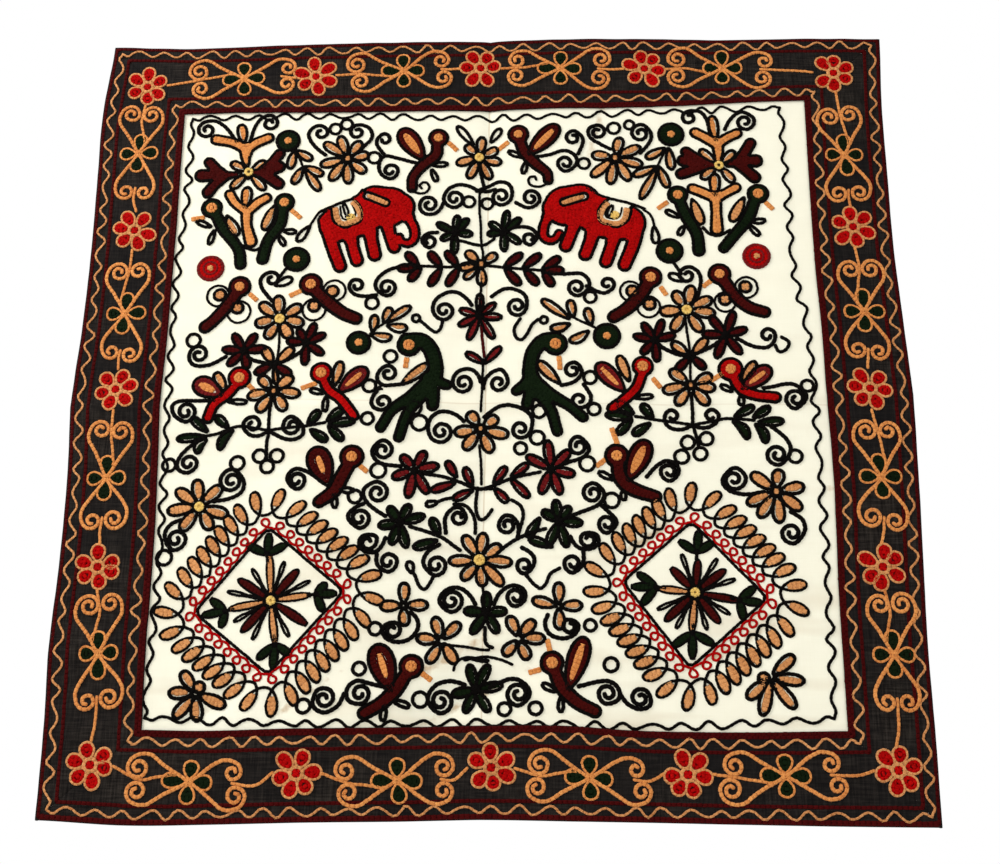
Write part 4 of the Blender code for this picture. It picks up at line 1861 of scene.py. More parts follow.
RIGHT_FLOWERS: tuple[Motif, ...] = (
    Stem((-279, 157, -280, 172)),
    Flower(-280, 164, 9.5, Dye.ORANGE, (-298, 146, -259, 144, -296, 185, -260, 180), 5),
    Disc(-226, 123, 14, Dye.GREEN, 4.5),
    Stem((-222, 140, -215, 152, -209, 165), width=3.2),
    Leaves(Dye.ORANGE, 9.5, (-223, 141, -226, 168, -219, 141, -197, 153, -211, 164, -221, 191)),
    Leaves(Dye.ORANGE, 9.5, (-208, 164, -182, 176, -209, 168, -190, 205)),
    Disc(-318, 279, 14, Dye.RED, 3, Dye.ORANGE),
    Disc(-221, 271, 14, Dye.GREEN, 4.5),
    Flower(
        -161, 153, 11, Dye.ORANGE,
        (-167, 127, -135, 148, -134, 176, -155, 186, -177, 182, -192, 162, -190, 139),
        4.5, Dye.ORANGE,
    ),
    Flower(-33, 245, 9, Dye.GREEN, (-37, 219, -52, 229, -17, 233, -15, 247, -34, 269, -52, 260)),
    Stem((-100, 299, -84, 295, -68, 293, -45, 291, -25, 288, -11, 286), width=3.8),
    Leaves(Dye.MAROON, 10, (-76, 294, -101, 294, -77, 293, -97, 278, -78, 295, -89, 313)),
    Leaves(Dye.MAROON, 10, (-55, 291, -75, 274, -57, 293, -72, 311, -34, 289, -54, 273, -35, 291, -52, 311)),
    Stem((-236, 352, -238, 372, -241, 397), width=3.2),
    Flower(
        -238, 343, 12, Dye.ORANGE,
        (-244, 314, -225, 321, -209, 345, -222, 368, -254, 369, -269, 348, -266, 330), 5.5
    ),
    Flower(-280, 374, 10, Dye.MAROON, (-290, 346, -264, 351, -255, 372, -269, 400, -296, 396, -303, 367)),
    Flower(
        -202, 379, 9.5, Dye.MAROON, (-211, 355, -189, 359, -179, 374, -187, 395, -204, 404, -224, 373)
    ),
    Leaves(Dye.ORANGE, 10, (-243, 396, -259, 378, -239, 396.5, -221, 382)),
    Leaves(Dye.MAROON, 9.5, (-242.5, 398.5, -256, 413, -239.5, 399, -225, 415)),
    Stem((-280, 375, -271, 382.5, -258, 390.5, -241.7, 397), width=5.0),
    Stem((-202, 380, -209, 387, -218, 392, -228, 396.5, -241.7, 397.5), width=5.0),
    Flower(
        -240, 432, 11.5, Dye.ORANGE,
        (-263, 421, -218, 415, -210, 439, -224, 455, -258, 455, -266, 436), 4.0, Dye.ORANGE
    ),
    Stem((-241, 398, -240, 416, -240, 430), width=3.2),
    Stem((-240, 441, -241, 460, -241, 478), width=4.2),
    Leaves(Dye.ORANGE, 9, (-132, 361, -127, 341, -112, 351, -108, 331, -108, 353, -77, 330)),
    Leaves(Dye.ORANGE, 9.5, (-108, 359, -87, 365, -129, 368, -108, 380), bend=0.06),
    Stem((-136, 364, -120, 356, -110, 350), width=3.2),
    Disc(-149, 374, 14, Dye.GREEN, 4.5),
    Stem((-241, 478, -262, 474, -280, 471, -308, 474), width=3.8),
    Leaves(Dye.GREEN, 9.5, (-286, 469, -307, 458, -306, 471, -324, 459, -311, 476, -338, 475)),
    Leaves(Dye.GREEN, 10, (-284, 474, -300, 494, -308, 478, -319, 499), bend=0.12),
    Stem((-241, 478, -222, 475, -200, 472, -178, 468), width=3.8),
    Leaves(Dye.GREEN, 10, (-198, 470, -186, 455, -195, 476, -176, 489, -177, 466, -160, 452)),
    Leaves(Dye.GREEN, 10, (-175, 470, -147, 466, -175, 472, -159, 488)),
    Flower(
        -327, 554, 12, Dye.ORANGE,
        (-331, 530, -302, 534, -296, 567, -308, 582, -329, 588, -352, 574, -356, 549),
        4.5, Dye.ORANGE,
    ),
    Flower(-87, 528, 11.5, Dye.CRIMSON, (-83, 496, -107, 507, -61, 513, -76, 555, -97, 556, -112, 534)),
    Stem((-76, 531, -60, 534, -44, 538, -25, 546, -10, 550), width=4.2),
    Leaves(Dye.CRIMSON, 9, (-44, 536, -62, 522, -43, 538, -63, 559, -25, 544, -38, 525, -26, 549, -40, 564)),
    Flower(-95, 586, 10.5, Dye.GREEN, (-92, 563, -107, 570, -78, 575, -120, 588, -104, 614, -84, 612)),
    Leaves(Dye.GREEN, 9.5, (-75, 582, -62, 603, -89, 614, -64, 605)),
    Stem((-82, 594, -66, 598, -51, 605, -40, 612, -30, 620), width=4.4),
    Flower(-95, 678, 10.5, Dye.ORANGE, (-95, 653, -119, 677, -68, 671, -96, 702), start=2.0),
    Flower(-53, 712, 11, Dye.ORANGE, (-43, 689, -69, 693, -80, 712, -63, 733, -38, 729), start=3.0),
    Flower(-312, 751, 11.5, Dye.ORANGE, (-336, 730, -345, 756, -335, 783, -302, 790, -288, 773), start=3.0),
    Disc(-305, 753, 5.5, Dye.ORANGE),
)

LEFT_SPRAYS: tuple[Motif, ...] = (
    Leaves(Dye.AMBER, 10.5, (-291, 131, -296, 106)),
    Figure(
        Dye.AMBER,
        (
            Limb((-324, 125, -306, 129, -292, 136, -287, 144), (5.6, 5.2, 5.5, 5.5)),
            Limb((-262, 124, -276, 130, -286, 138), (5.2, 5.4, 5.5)),
            Limb((-289, 136, -288, 148, -286, 158), (6.5, 5.0, 2.4)),
        ),
    ),
    Figure(
        Dye.WINE,
        (
            Limb((-330, 155, -322, 164, -313, 172), (5.4, 5.6, 6.0)),
            Limb((-338, 172, -324, 172, -312, 173), (7.0, 5.6, 6.0)),
            Limb((-329, 194, -322, 184, -312, 174), (6.0, 5.6, 6.0)),
            Limb((-314, 173, -303, 172, -294, 171), (5.5, 3.6, 2.2)),
        ),
    ),
    Figure(
        Dye.WINE,
        (
            Limb((-248, 145, -256, 157, -266, 168), (5.4, 5.8, 7.0)),
            Limb((-248, 162, -256, 165, -266, 169), (6.4, 6.4, 7.0)),
            Limb((-247, 184, -256, 177, -266, 169), (5.8, 6.2, 7.0)),
            Limb((-262, 168, -272, 169, -280, 169), (6.0, 4.4, 2.6)),
        ),
    ),
    Leaves(Dye.AMBER, 11, (-284, 215, -283, 188)),
    Figure(
        Dye.AMBER,
        (
            Limb((-303, 197, -296, 208, -284, 218), (5.2, 4.8, 5.0)),
            Limb((-260, 202, -270, 208, -280, 218), (5.2, 5.4, 5.2)),
            Limb((-282, 217, -281, 236, -275, 257), (5.8, 5.0, 6.4)),
        ),
    ),
    Stem((-290, 258, -281, 264, -271, 268, -264, 265, -259, 257)),
)

RIGHT_SPRAYS: tuple[Motif, ...] = (
    Leaves(Dye.AMBER, 10.5, (-278, 133, -274, 100)),
    Figure(
        Dye.AMBER,
        (
            Limb((-302, 123, -290, 129, -279, 137), (5.2, 5.2, 5.5)),
            Limb((-254, 121, -266, 128, -277, 136), (5.2, 5.4, 5.5)),
            Limb((-279, 134, -280, 147, -279, 160), (6.5, 5.0, 2.4)),
        ),
    ),
    Figure(
        Dye.WINE,
        (
            Limb((-317, 136, -310, 148, -302, 160), (5.4, 5.6, 6.0)),
            Limb((-322, 159, -311, 159, -302, 161), (7.0, 5.6, 6.0)),
            Limb((-320, 180, -311, 171, -302, 162), (6.0, 5.6, 6.0)),
            Limb((-303, 161, -296, 162, -290, 163), (5.5, 3.8, 2.4)),
        ),
    ),
    Figure(
        Dye.WINE,
        (
            Limb((-243, 146, -253, 154, -264, 162), (5.4, 5.8, 6.5)),
            Limb((-240, 157, -252, 159, -264, 162), (6.6, 6.4, 6.5)),
            Limb((-237, 174, -250, 169, -264, 163), (5.8, 6.2, 6.5)),
            Limb((-262, 162, -270, 163, -277, 164), (6.0, 4.4, 2.6)),
        ),
    ),
    Leaves(Dye.AMBER, 11, (-274, 203, -275, 175)),
    Figure(
        Dye.AMBER,
        (
            Limb((-298, 193, -289, 198, -277, 205), (5.2, 4.8, 5.0)),
            Limb((-249, 193, -260, 198, -273, 205), (5.2, 5.4, 5.2)),
            Limb((-275, 203, -275, 224, -275, 245), (5.8, 5.0, 6.4)),
        ),
    ),
    Stem((-290, 246, -283, 250, -275, 253, -266, 250, -259, 242)),
)

LEFT_BIRDS: tuple[Motif, ...] = (
    Leaves(Dye.ORANGE, 11.5, (-305, 224, -291, 249)),
    Bird(
        Dye.GREEN, (-323, 214, 11),
        (Limb((-319, 220, -308, 240, -289, 266, -285, 285), (5.5, 6.0, 5.0, 5.5)),),
        (-331, 226, -345, 228), (-322, 238, -339, 231, -318, 242, -323, 259), 6.5,
    ),
    Leaves(Dye.ORANGE, 11, (-249, 211, -261, 242)),
    Bird(
        Dye.GREEN, (-239, 208, 10.5),
        (Limb((-240, 216, -243, 236, -255, 256, -260, 279), (5.5, 6.0, 5.5, 5.8)),),
        (-230, 218, -219, 228), (-238, 244, -224, 246, -243, 250, -236, 262), 5.5,
    ),
    Wing(Dye.WINE, (-79, 154), (-107, 114), 23),
    Bird(
        Dye.WINE, (-63, 125, 10.5),
        (Limb((-64, 134, -66, 148, -80, 160, -91, 176, -92, 190), (5.5, 6.2, 6.0, 5.0, 4.8)),),
        (-51, 131, -41, 141), (-70, 160, -52, 159, -70, 166, -64, 181),
    ),
    Wing(Dye.WINE, (-172, 548), (-189, 505), 26),
    Bird(
        Dye.WINE, (-148, 515, 12),
        (Limb((-151, 524, -158, 538, -166, 554, -181, 566), (6.5, 7.0, 6.5, 5.5)),),
        (-139, 525, -131, 532), (-160, 553, -145, 553, -165, 557, -164, 572), 6,
    ),
    Wing(Dye.WINE, (-97, 769), (-114, 720), 26),
    Bird(
        Dye.WINE, (-77, 742, 11.5),
        (Limb((-82, 750, -92, 766, -106, 780, -124, 791), (6.0, 6.5, 6.0, 5.5)),),
        (-66, 749, -56, 756), (-94, 778, -78, 783, -103, 782, -105, 798), 6,
    ),
    Rings((-308, 324, 12.5, -283, 344, 13), width=3.0),
    Disc(-306, 323, 6.4, Dye.ORANGE),
    Disc(-285, 339, 6.2, Dye.ORANGE),
    Bird(
        Dye.WINE, (-284, 313, 11.5),
        (Limb((-287, 321, -298, 338, -311, 354, -320, 362), (6.5, 6.5, 6.0, 6.0)),),
        (-272, 322, -263, 330), (), 5.5,
    ),
    Rings((-198, 342, 13, -176, 319, 12.5), width=3.0),
    Disc(-198, 338, 6.2, Dye.ORANGE),
    Disc(-178, 320, 6.4, Dye.ORANGE),
    Bird(
        Dye.WINE, (-203, 311, 12),
        (Limb((-197, 319, -184, 332, -166, 346, -150, 353), (6.5, 7.0, 6.5, 6.0)),),
        (-212, 318, -226, 325), (), 6,
    ),
    Wing(Dye.CRIMSON, (-294, 444), (-327, 427), 22),
    Leaves(Dye.ORANGE, 10.5, (-292, 439, -304, 417)),
    Bird(
        Dye.RED, (-277, 423, 11.8),
        (Limb((-280, 431, -290, 443, -303, 455, -309, 470), (5.0, 5.5, 5.2, 5.2)),),
        (-267, 431, -258, 440), (-288, 451, -267, 452), 6,
    ),
    Wing(Dye.CRIMSON, (-166, 441), (-136, 413), 19),
    Leaves(Dye.ORANGE, 10.5, (-171, 434, -165, 405)),
    Bird(
        Dye.RED, (-186, 418, 11),
        (Limb((-183, 427, -176, 439, -163, 449, -148, 468), (5.0, 5.2, 5.2, 5.0)),),
        (-191, 430, -207, 436), (-182, 442, -197, 438, -179, 446, -180, 463), 6,
    ),
    Leaves(Dye.ORANGE, 11, (-97, 431, -68, 407)),
    Bird(
        Dye.GREEN, (-90, 384, 12),
        (
            Limb((-92, 379, -76, 379, -65, 391, -60, 412, -64, 428), (8.0, 7.5, 7.5, 7.5, 9.0)),
            Limb((-66, 424, -56, 428, -47, 431), (9.0, 6.0, 4.5)),
            Limb((-66, 432, -62, 446, -62, 455), (10.0, 6.5, 5.2)),
            Limb((-68, 432, -86, 446, -106, 461, -118, 481), (10.0, 6.4, 4.7, 4.6)),
            Limb((-70, 438, -88, 462, -98, 492), (7.0, 4.9, 4.6)),
        ),
        (-92, 400, -93, 411), (), 6.5,
    ),
    Rings((-82, 458, 7.5)),
)

RIGHT_BIRDS: tuple[Motif, ...] = (
    Leaves(Dye.ORANGE, 11.5, (-307, 205, -292, 235)),
    Bird(
        Dye.GREEN, (-323, 201, 11),
        (Limb((-319, 209, -310, 232, -293, 254, -282, 268), (5.5, 6.0, 5.2, 5.0)),),
        (-331, 212, -339, 221), (-315, 236, -329, 235, -311, 240, -322, 253), 6,
    ),
    Leaves(Dye.ORANGE, 11, (-248, 206, -258, 238)),
    Bird(
        Dye.GREEN, (-232, 201, 10.5),
        (Limb((-234, 209, -240, 226, -252, 250, -254, 271), (5.5, 6.0, 5.5, 5.8)),),
        (-220, 210, -209, 218), (-233, 229, -218, 221, -238, 240, -232, 251), 5.5,
    ),
    Wing(Dye.WINE, (-60, 148), (-95, 110), 21),
    Bird(
        Dye.WINE, (-49, 121, 11),
        (Limb((-51, 130, -57, 145, -70, 160, -82, 171, -84, 181), (5.5, 6.2, 6.0, 5.0, 4.5)),),
        (-37, 131, -26, 140), (-54, 151, -38, 143, -58, 157, -55, 171),
    ),
    Wing(Dye.WINE, (-169, 542), (-191, 496), 23),
    Bird(
        Dye.WINE, (-158, 513, 12),
        (Limb((-159, 522, -162, 538, -174, 550, -199, 559), (6.5, 7.0, 6.5, 5.5)),),
        (-159, 500, -153, 482, -146, 517, -136, 525), (-155, 540, -139, 532, -164, 552, -165, 562), 6,
    ),
    Wing(Dye.WINE, (-104, 766), (-122, 711), 21),
    Bird(
        Dye.WINE, (-88, 737, 11),
        (Limb((-91, 746, -98, 762, -113, 777, -132, 787), (6.0, 6.5, 6.0, 5.5)),),
        (-86, 725, -83, 713, -76, 744, -64, 747), (-92, 767, -78, 759, -97, 773, -97, 787), 6,
    ),
    Rings((-305, 317, 12.5, -281, 334, 11.5), width=3.0),
    Disc(-304, 316, 6.2, Dye.ORANGE),
    Disc(-281, 331, 6.2, Dye.ORANGE),
    Bird(
        Dye.WINE, (-276, 300, 11.5),
        (Limb((-281, 309, -292, 327, -307, 341, -324, 347), (6.2, 6.2, 6.0, 5.5)),),
        (-266, 308, -257, 315), (), 5.5,
    ),
    Rings((-196, 339, 12.5, -176, 320, 11.5), width=3.0),
    Disc(-197, 336, 6.2, Dye.ORANGE),
    Disc(-178, 320, 6.2, Dye.ORANGE),
    Bird(
        Dye.WINE, (-199, 303, 11.5),
        (Limb((-195, 312, -186, 326, -172, 341, -157, 351), (6.5, 7.0, 6.5, 6.0)),),
        (-210, 315, -216, 325), (), 6,
    ),
    Wing(Dye.CRIMSON, (-295, 438), (-327, 413), 19),
    Leaves(Dye.ORANGE, 10, (-295, 430, -311, 406)),
    Bird(
        Dye.RED, (-284, 414, 12.3),
        (Limb((-286, 423, -295, 438, -310, 445, -331, 448), (5.0, 5.5, 5.2, 5.2)),),
        (-275.5, 418.5, -261, 428), (-285, 440, -273, 433, -294, 445, -294, 456), 5.5,
    ),
    Wing(Dye.CRIMSON, (-168, 440), (-138, 407), 19),
    Leaves(Dye.ORANGE, 10.5, (-173, 428, -162, 398)),
    Bird(
        Dye.RED, (-188, 410, 10.5),
        (Limb((-187, 419, -180, 436, -166, 450, -154, 459), (5.0, 5.2, 5.2, 5.0)),),
        (-199, 424, -207, 435), (-178, 447, -198, 445), 6,
    ),
    Leaves(Dye.ORANGE, 11, (-97, 430, -73, 404)),
    Bird(
        Dye.GREEN, (-92, 383, 12),
        (
            Limb((-92, 378, -78, 380, -67, 394, -64, 414, -66, 426), (8.0, 7.5, 7.0, 7.0, 8.5)),
            Limb((-66, 424, -57, 432, -49, 438), (8.5, 5.5, 4.5)),
            Limb((-68, 432, -63, 446, -61, 454), (9.0, 6.0, 5.0)),
            Limb((-68, 430, -86, 443, -106, 455, -122, 469), (9.5, 6.4, 4.7, 4.6)),
            Limb((-70, 437, -86, 459, -94, 485), (7.0, 4.9, 4.6)),
        ),
        (-96, 398, -97, 413), (), 6.5,
    ),
    Rings((-74, 462, 7)),
)


@dataclass(frozen=True)
class Elephant(Motif):
    """A walking elephant with a saddle cloth, an ear and a looped tail."""

    limbs: tuple[Limb, ...]
    gaps: tuple[Limb, ...]
    band: tuple[float, ...]
    window: tuple[float, ...]
    ear: tuple[float, ...]
    rein: tuple[float, ...]
    knot: tuple[float, float]
    mark: tuple[float, ...]
    tail: tuple[float, ...]
    tail_loop: tuple[float, ...]

    def sew(self, work: Needlework) -> None:
        """Sews the body, and then the saddle cloth, the ear and the tail.

        Args:
            work: the embroidery that it is sewn into
        """
        work.figure(Dye.RED, self.limbs, gaps=self.gaps)
        work.rows(Dye.ORANGE, smooth(spots(*self.band)), 2, 3.1 * MM)
        work.line(Dye.BLACK, smooth(spots(*self.window)), 2.4 * MM, back=False)
        work.filling(Dye.ORANGE, spot(*self.ear[:2]), spot(*self.ear[2:]), 9 * MM, 0.5)
        Stem(self.rein, width=3.8).sew(work)
        work.line(Dye.BLACK, teardrop(spot(*self.mark[:2]), spot(*self.mark[2:]), 4.2 * MM, 0.0), 3.0 * MM)
        work.disc(Dye.YELLOW, spot(*self.knot), 5 * MM, None)
        Stem(self.tail, width=3.2).sew(work)
        work.outline(Dye.BLACK, teardrop(spot(*self.tail_loop[:2]), spot(*self.tail_loop[2:]), 8 * MM, 0.9))


LEFT_ELEPHANT = Elephant(
    limbs=(
        Limb((-175, 236, -158, 229, -138, 218), (22, 24, 24)),
        Limb((-134, 212, -118, 214), (23.5, 24)),
        Limb(
            (-106, 214, -95, 228, -88, 242, -88, 254, -94, 260, -102, 258, -105, 252),
            (17, 8, 5, 5, 4.6, 4.2, 3.8)
        ),
        Limb((-189, 232, -181, 262, -171, 289), (9, 7.0, 6.6)),
        Limb((-163, 240, -157, 266, -152, 282), (10, 6.4, 6.4)),
        Limb((-141, 234, -136, 258, -132, 275), (10, 6.8, 6.6)),
        Limb((-121, 226, -116, 248, -110, 265), (9, 6.4, 6.4)),
    ),
    gaps=(
        Limb((-174, 218, -173, 228, -167, 233), (10.0, 9.0, 8.0)),
        Limb((-166, 213, -160, 220, -157, 228), (11.0, 11.0, 8.5)),
        Limb((-143, 200, -122, 209), (4.6, 4.6)),
    ),
    band=(-180, 216, -176, 231, -169, 236, -156, 232, -150, 226, -154, 215, -160, 208),
    window=(-174, 214, -172, 226, -167, 230, -159, 227, -156, 222, -160, 212),
    ear=(-147, 198, -118, 211),
    rein=(-198, 221, -186, 215, -171, 208, -157, 202, -149, 192),
    knot=(-161, 228),
    mark=(-170, 210, -165, 226),
    tail=(-198, 221, -205, 232, -210, 244),
    tail_loop=(-208, 238, -221, 257),
)

RIGHT_ELEPHANT = Elephant(
    limbs=(
        Limb((-173, 236, -153, 231, -130, 220), (21, 24, 23)),
        Limb((-120, 210, -104, 214), (23, 24)),
        Limb(
            (-94, 216, -84, 228, -79, 240, -79, 252, -86, 257, -93, 254, -96, 248),
            (16, 8, 5, 5, 4.6, 4.2, 3.8)
        ),
        Limb((-185, 234, -180, 262, -170, 288), (9, 7.0, 6.6)),
        Limb((-161, 242, -155, 266, -149, 284), (10, 6.4, 6.4)),
        Limb((-138, 236, -132, 258, -126, 275), (10, 6.8, 6.6)),
        Limb((-116, 228, -110, 248, -104, 264), (9, 6.4, 6.4)),
    ),
    gaps=(
        Limb((-169, 220, -167, 228, -161, 233), (10.0, 9.0, 8.5)),
        Limb((-156, 216, -151, 223, -150, 229), (10.5, 10.5, 8.5)),
        Limb((-125, 202, -102, 209), (4.6, 4.6)),
    ),
    band=(-174, 218, -171, 231, -163, 237, -150, 235, -143, 229, -146, 218, -152, 210),
    window=(-168, 217, -166, 225, -161, 230, -152, 229, -149, 224, -153, 214),
    ear=(-129, 200, -98, 211),
    rein=(-194, 218, -177, 211, -158, 206, -141, 200, -128, 191),
    knot=(-160, 226),
    mark=(-157, 214, -152, 227),
    tail=(-192, 219, -199, 224, -203, 232, -205, 244),
    tail_loop=(-204, 240, -206, 261),
)


@dataclass(frozen=True)
class Diamond(Motif):
    """A diamond: a black line, a red looping line round it, and a black looping line of petals outside."""

    corners: tuple[float, ...]
    eye: tuple[float, float]
    long_petals: tuple[float, ...]
    long_wine: tuple[float, ...]
    side_petals: tuple[float, ...]
    loops: tuple[float, ...]
    sprigs: tuple[tuple[float, ...], ...]
    rim_gap: float = 17.5
    rim_reach: float = 29.0
    rim_width: float = 10.6
    lean: float = 0.26
    petals: int = 37
    small_loops: int = 34
    even_places: ClassVar[int] = 900
    fan: ClassVar[float] = 16.0
    fine_line: ClassVar[float] = 2.9

    def ring(self, out: float, round_off: float) -> np.ndarray:
        """The diamond's line, set outward by a distance, with its corners rounded off, all in millimetres.

        Args:
            out: the distance outward
            round_off: how far from a corner the rounding starts
        Returns:
            the line
        """
        inner = spots(*self.corners)
        line = []
        for before, here, after in zip(np.roll(inner, 1, 0), inner, np.roll(inner, -1, 0)):
            into, on = unit(here - before), unit(after - here)
            normals = np.array(((into[1], -into[0]), (on[1], -on[0])))
            bisector = normals.sum(0)
            corner = here + bisector * out * MM / (1 + normals[0] @ normals[1])
            cut = round_off * MM
            line += [corner - into * cut, corner - (into - on) * cut * 0.26, corner + on * cut]
            line += [corner + on * np.linalg.norm(after - here) * share for share in (0.36, 0.64)]
        return smooth(np.array(line), closed=True)

    @staticmethod
    def looped(
        line: np.ndarray, count: int, reach: float, swing: float, lean: float
    ) -> tuple[np.ndarray, np.ndarray, np.ndarray]:
        """A line that loops outward as it goes round another.

        Args:
            line: the closed line that it goes round
            count: how many loops it makes
            reach: how far they reach outward
            swing: how far it swings back and forth along the line
            lean: how far the loops lean on along the line, as a share of their reach
        Returns:
            the looping line, and the root and outward way of each loop
        """
        far = reach_along(line)
        even = np.arange(Diamond.even_places) * far[-1] / Diamond.even_places
        places = places_on(line, far, even)
        way = np.roll(places, -1, 0) - np.roll(places, 1, 0)
        window = round(Diamond.fan * MM / far[-1] * Diamond.even_places)
        way = sum(np.roll(way, shift, 0) for shift in range(-window, window + 1))
        way /= np.linalg.norm(way, axis=1, keepdims=True)
        out = np.stack((way[:, 1], -way[:, 0]), 1)

        def at(turn: np.ndarray, values: np.ndarray) -> np.ndarray:
            """Values along the line, where count whole turns go once round it.

            Args:
                turn: how far round it is, in radians of its loops
                values: a row for each place
            Returns:
                the values
            """
            where = np.mod(turn / (2 * math.pi * count), 1.0) * Diamond.even_places
            steps = np.arange(Diamond.even_places + 1)
            return np.stack([np.interp(where, steps, np.append(column, column[0])) for column in values.T], 1)

        turn = np.linspace(0, 2 * math.pi * count, 40 * count + 1)
        root = (np.floor(turn / (2 * math.pi)) + 0.5) * 2 * math.pi
        high = (1 - np.cos(turn)) / 2
        swung = swing * np.sin(turn) * high**0.15 + lean * reach * high
        looping = at(turn, places) + at(root, way) * swung[:, None] + at(root, out) * (reach * high)[:, None]
        roots = 2 * math.pi * (np.arange(count) + 0.5)
        return looping, at(roots, places), at(roots, out) + lean * at(roots, way)

    def sew(self, work: Needlework) -> None:
        """Sews the lines, the petals and the flower inside.

        Args:
            work: the embroidery that it is sewn into
        """
        work.line(Dye.BLACK, self.ring(1.8, 9.0), 3.3 * MM)
        red, _, _ = self.looped(self.ring(4.6, 11.0), self.small_loops, 10.0 * MM, 7.3 * MM, 0.0)
        work.sew(Dye.RED, red, pitch=0.0034, width=0.0028, lift=0.0002)
        ring = self.ring(self.rim_gap, 22.0)
        black, roots, ways = self.looped(ring, self.petals, self.rim_reach * MM, 9.6 * MM, self.lean)
        work.sew(Dye.BLACK, black, pitch=0.0038, width=0.0033, lift=work.outline_lift)
        for root, way in zip(roots, ways):
            drift = work.wobble(0.3 * MM)
            base, tip = root + way * 6.0 * MM + drift, root + way * (self.rim_reach - 0.6) * MM + drift
            work.filling(Dye.ORANGE, base, tip, self.rim_width * MM, 0.1, clear=1.1 * MM)
        self.sew_flower(work)

    def sew_flower(self, work: Needlework) -> None:
        """Sews the many-petalled flower and the sprigs in the diamond's corners.

        Args:
            work: the embroidery that it is sewn into
        """
        x, down = self.eye
        centre = spot(x, down)
        for tip in spots(*self.loops):
            neck = centre + 0.62 * (tip - centre)
            work.line(Dye.BLACK, np.linspace(centre, neck, 8), 4.6 * MM)
            open_end = teardrop(neck - 0.08 * (tip - centre), tip, 3.8 * MM, 0.5)
            work.sew(Dye.BLACK, open_end, pitch=0.0026, width=0.0030, lift=work.outline_lift)
        for tips, dye, width in (
            (self.side_petals, Dye.WINE, 8.6),
            (self.long_wine, Dye.WINE, 7.4),
            (self.long_petals, Dye.ORANGE, 7.2),
        ):
            for tip in spots(*tips):
                base = centre + unit(tip - centre) * 5 * MM
                work.petal(dye, base, tip, width * MM, blunt=0.55, edge_width=self.fine_line * MM)
        work.disc(Dye.YELLOW, centre, 5.2 * MM, None)
        work.sew(Dye.YELLOW, circle(centre, 3.0 * MM), pitch=0.0032, width=0.0042, lift=0.0012, back=False)
        for junction_x, junction_down, *tips in self.sprigs:
            junction = spot(junction_x, junction_down)
            for end in spots(*tips):
                tip = junction + (end - junction) * 0.9
                work.petal(Dye.GREEN, junction, tip, 8.0 * MM, blunt=0.3, edge_width=self.fine_line * MM)
            way = unit(centre - junction)
            work.line(Dye.BLACK, np.linspace(junction - way * 2 * MM, junction + way * 9 * MM, 8), 4.0 * MM)


LEFT_DIAMOND = Diamond(
    corners=(-234, 597, -153, 664, -226, 749, -305, 686),
    eye=(-227, 674),
    long_petals=(-231, 625, -220, 719, -271, 683, -186, 668),
    long_wine=(),
    side_petals=(-200, 641, -263, 651, -256, 707, -188, 699),
    loops=(-249, 640, -215, 632, -187, 653, -206, 712, -244, 715, -265, 696, -274, 664),
    sprigs=(
        (-234, 624, -233, 599, -259, 612, -212, 612),
        (-274, 685, -293, 671, -302, 690, -279, 704),
        (-220, 720, -240, 737, -221, 749, -201, 732),
        (-180, 667, -168, 654, -156, 666, -170, 687),
    ),
)

RIGHT_DIAMOND = Diamond(
    corners=(-236, 589, -165, 652, -231, 739, -310, 669),
    eye=(-238, 663),
    long_petals=(-200, 659, -233, 705),
    long_wine=(-242, 628, -284, 672),
    side_petals=(-214, 637, -270, 639, -262, 695, -206, 693),
    loops=(-225, 622, -262, 627, -280, 649, -273, 686, -249, 702, -217, 701, -198, 681),
    sprigs=(
        (-241, 620, -244, 594, -260, 608, -221, 606),
        (-198, 657, -176, 641, -169, 657, -180, 678),
        (-234, 705, -258, 719, -233, 735, -211, 721),
        (-283, 671, -302, 656, -310, 675, -288, 694),
    ),
    lean=-0.26,
)

# the wavy black line just inside the panel's seam: the straight line that it waves about
PANEL_WAVE = (
    (-354, 97, -180, 96, -4, 99, 160, 94, 334, 90),
    (334, 90, 337, 200, 340, 300, 351, 370, 355, 500, 356, 650, 355, 794),
    (355, 794, 180, 802, 0, 799, -180, 802, -352, 797),
    (-352, 797, -350, 640, -355, 450, -357, 300, -353, 200, -354, 97),
)


@dataclass(frozen=True)
class WavyLine(Motif):
    """A line that waves about a path of straight stretches."""

    paths: tuple[tuple[float, ...], ...]
    dye: Dye
    width: float
    length: float
    depth: float

    def sew(self, work: Needlework) -> None:
        """Sews the stretches, one after the other.

        Args:
            work: the embroidery that it is sewn into
        """
        for path in self.paths:
            line = waved(smooth(spots(*path)), self.length * MM, self.depth * MM)
            work.line(self.dye, line, self.width * MM)


def waved(line: np.ndarray, length: float, depth: float) -> np.ndarray:
    """A line with an even wave laid over it.

    Args:
        line: the line's points
        length: about how long a wave is
        depth: how far it swings to each side
    Returns:
        the waved line
    """
    reach = reach_along(line)
    even = np.linspace(0, reach[-1], int(reach[-1] / 0.0015))
    even_line = places_on(line, reach, even)
    waves = max(1, round(reach[-1] / length))
    turn = 2 * math.pi * waves * even / reach[-1]
    drift = 0.35 * np.sin(turn * 0.37 + 1.0) + 0.25 * np.sin(turn * 0.71)
    ends = np.clip(np.minimum(even, reach[-1] - even) / (0.35 * length), 0.0, 1.0)
    swing = ends * depth * (1 + 0.25 * np.sin(turn * 0.23 + 2.0)) * np.sin(turn + drift)
    return even_line + swing[:, None] * asides_of(even_line)


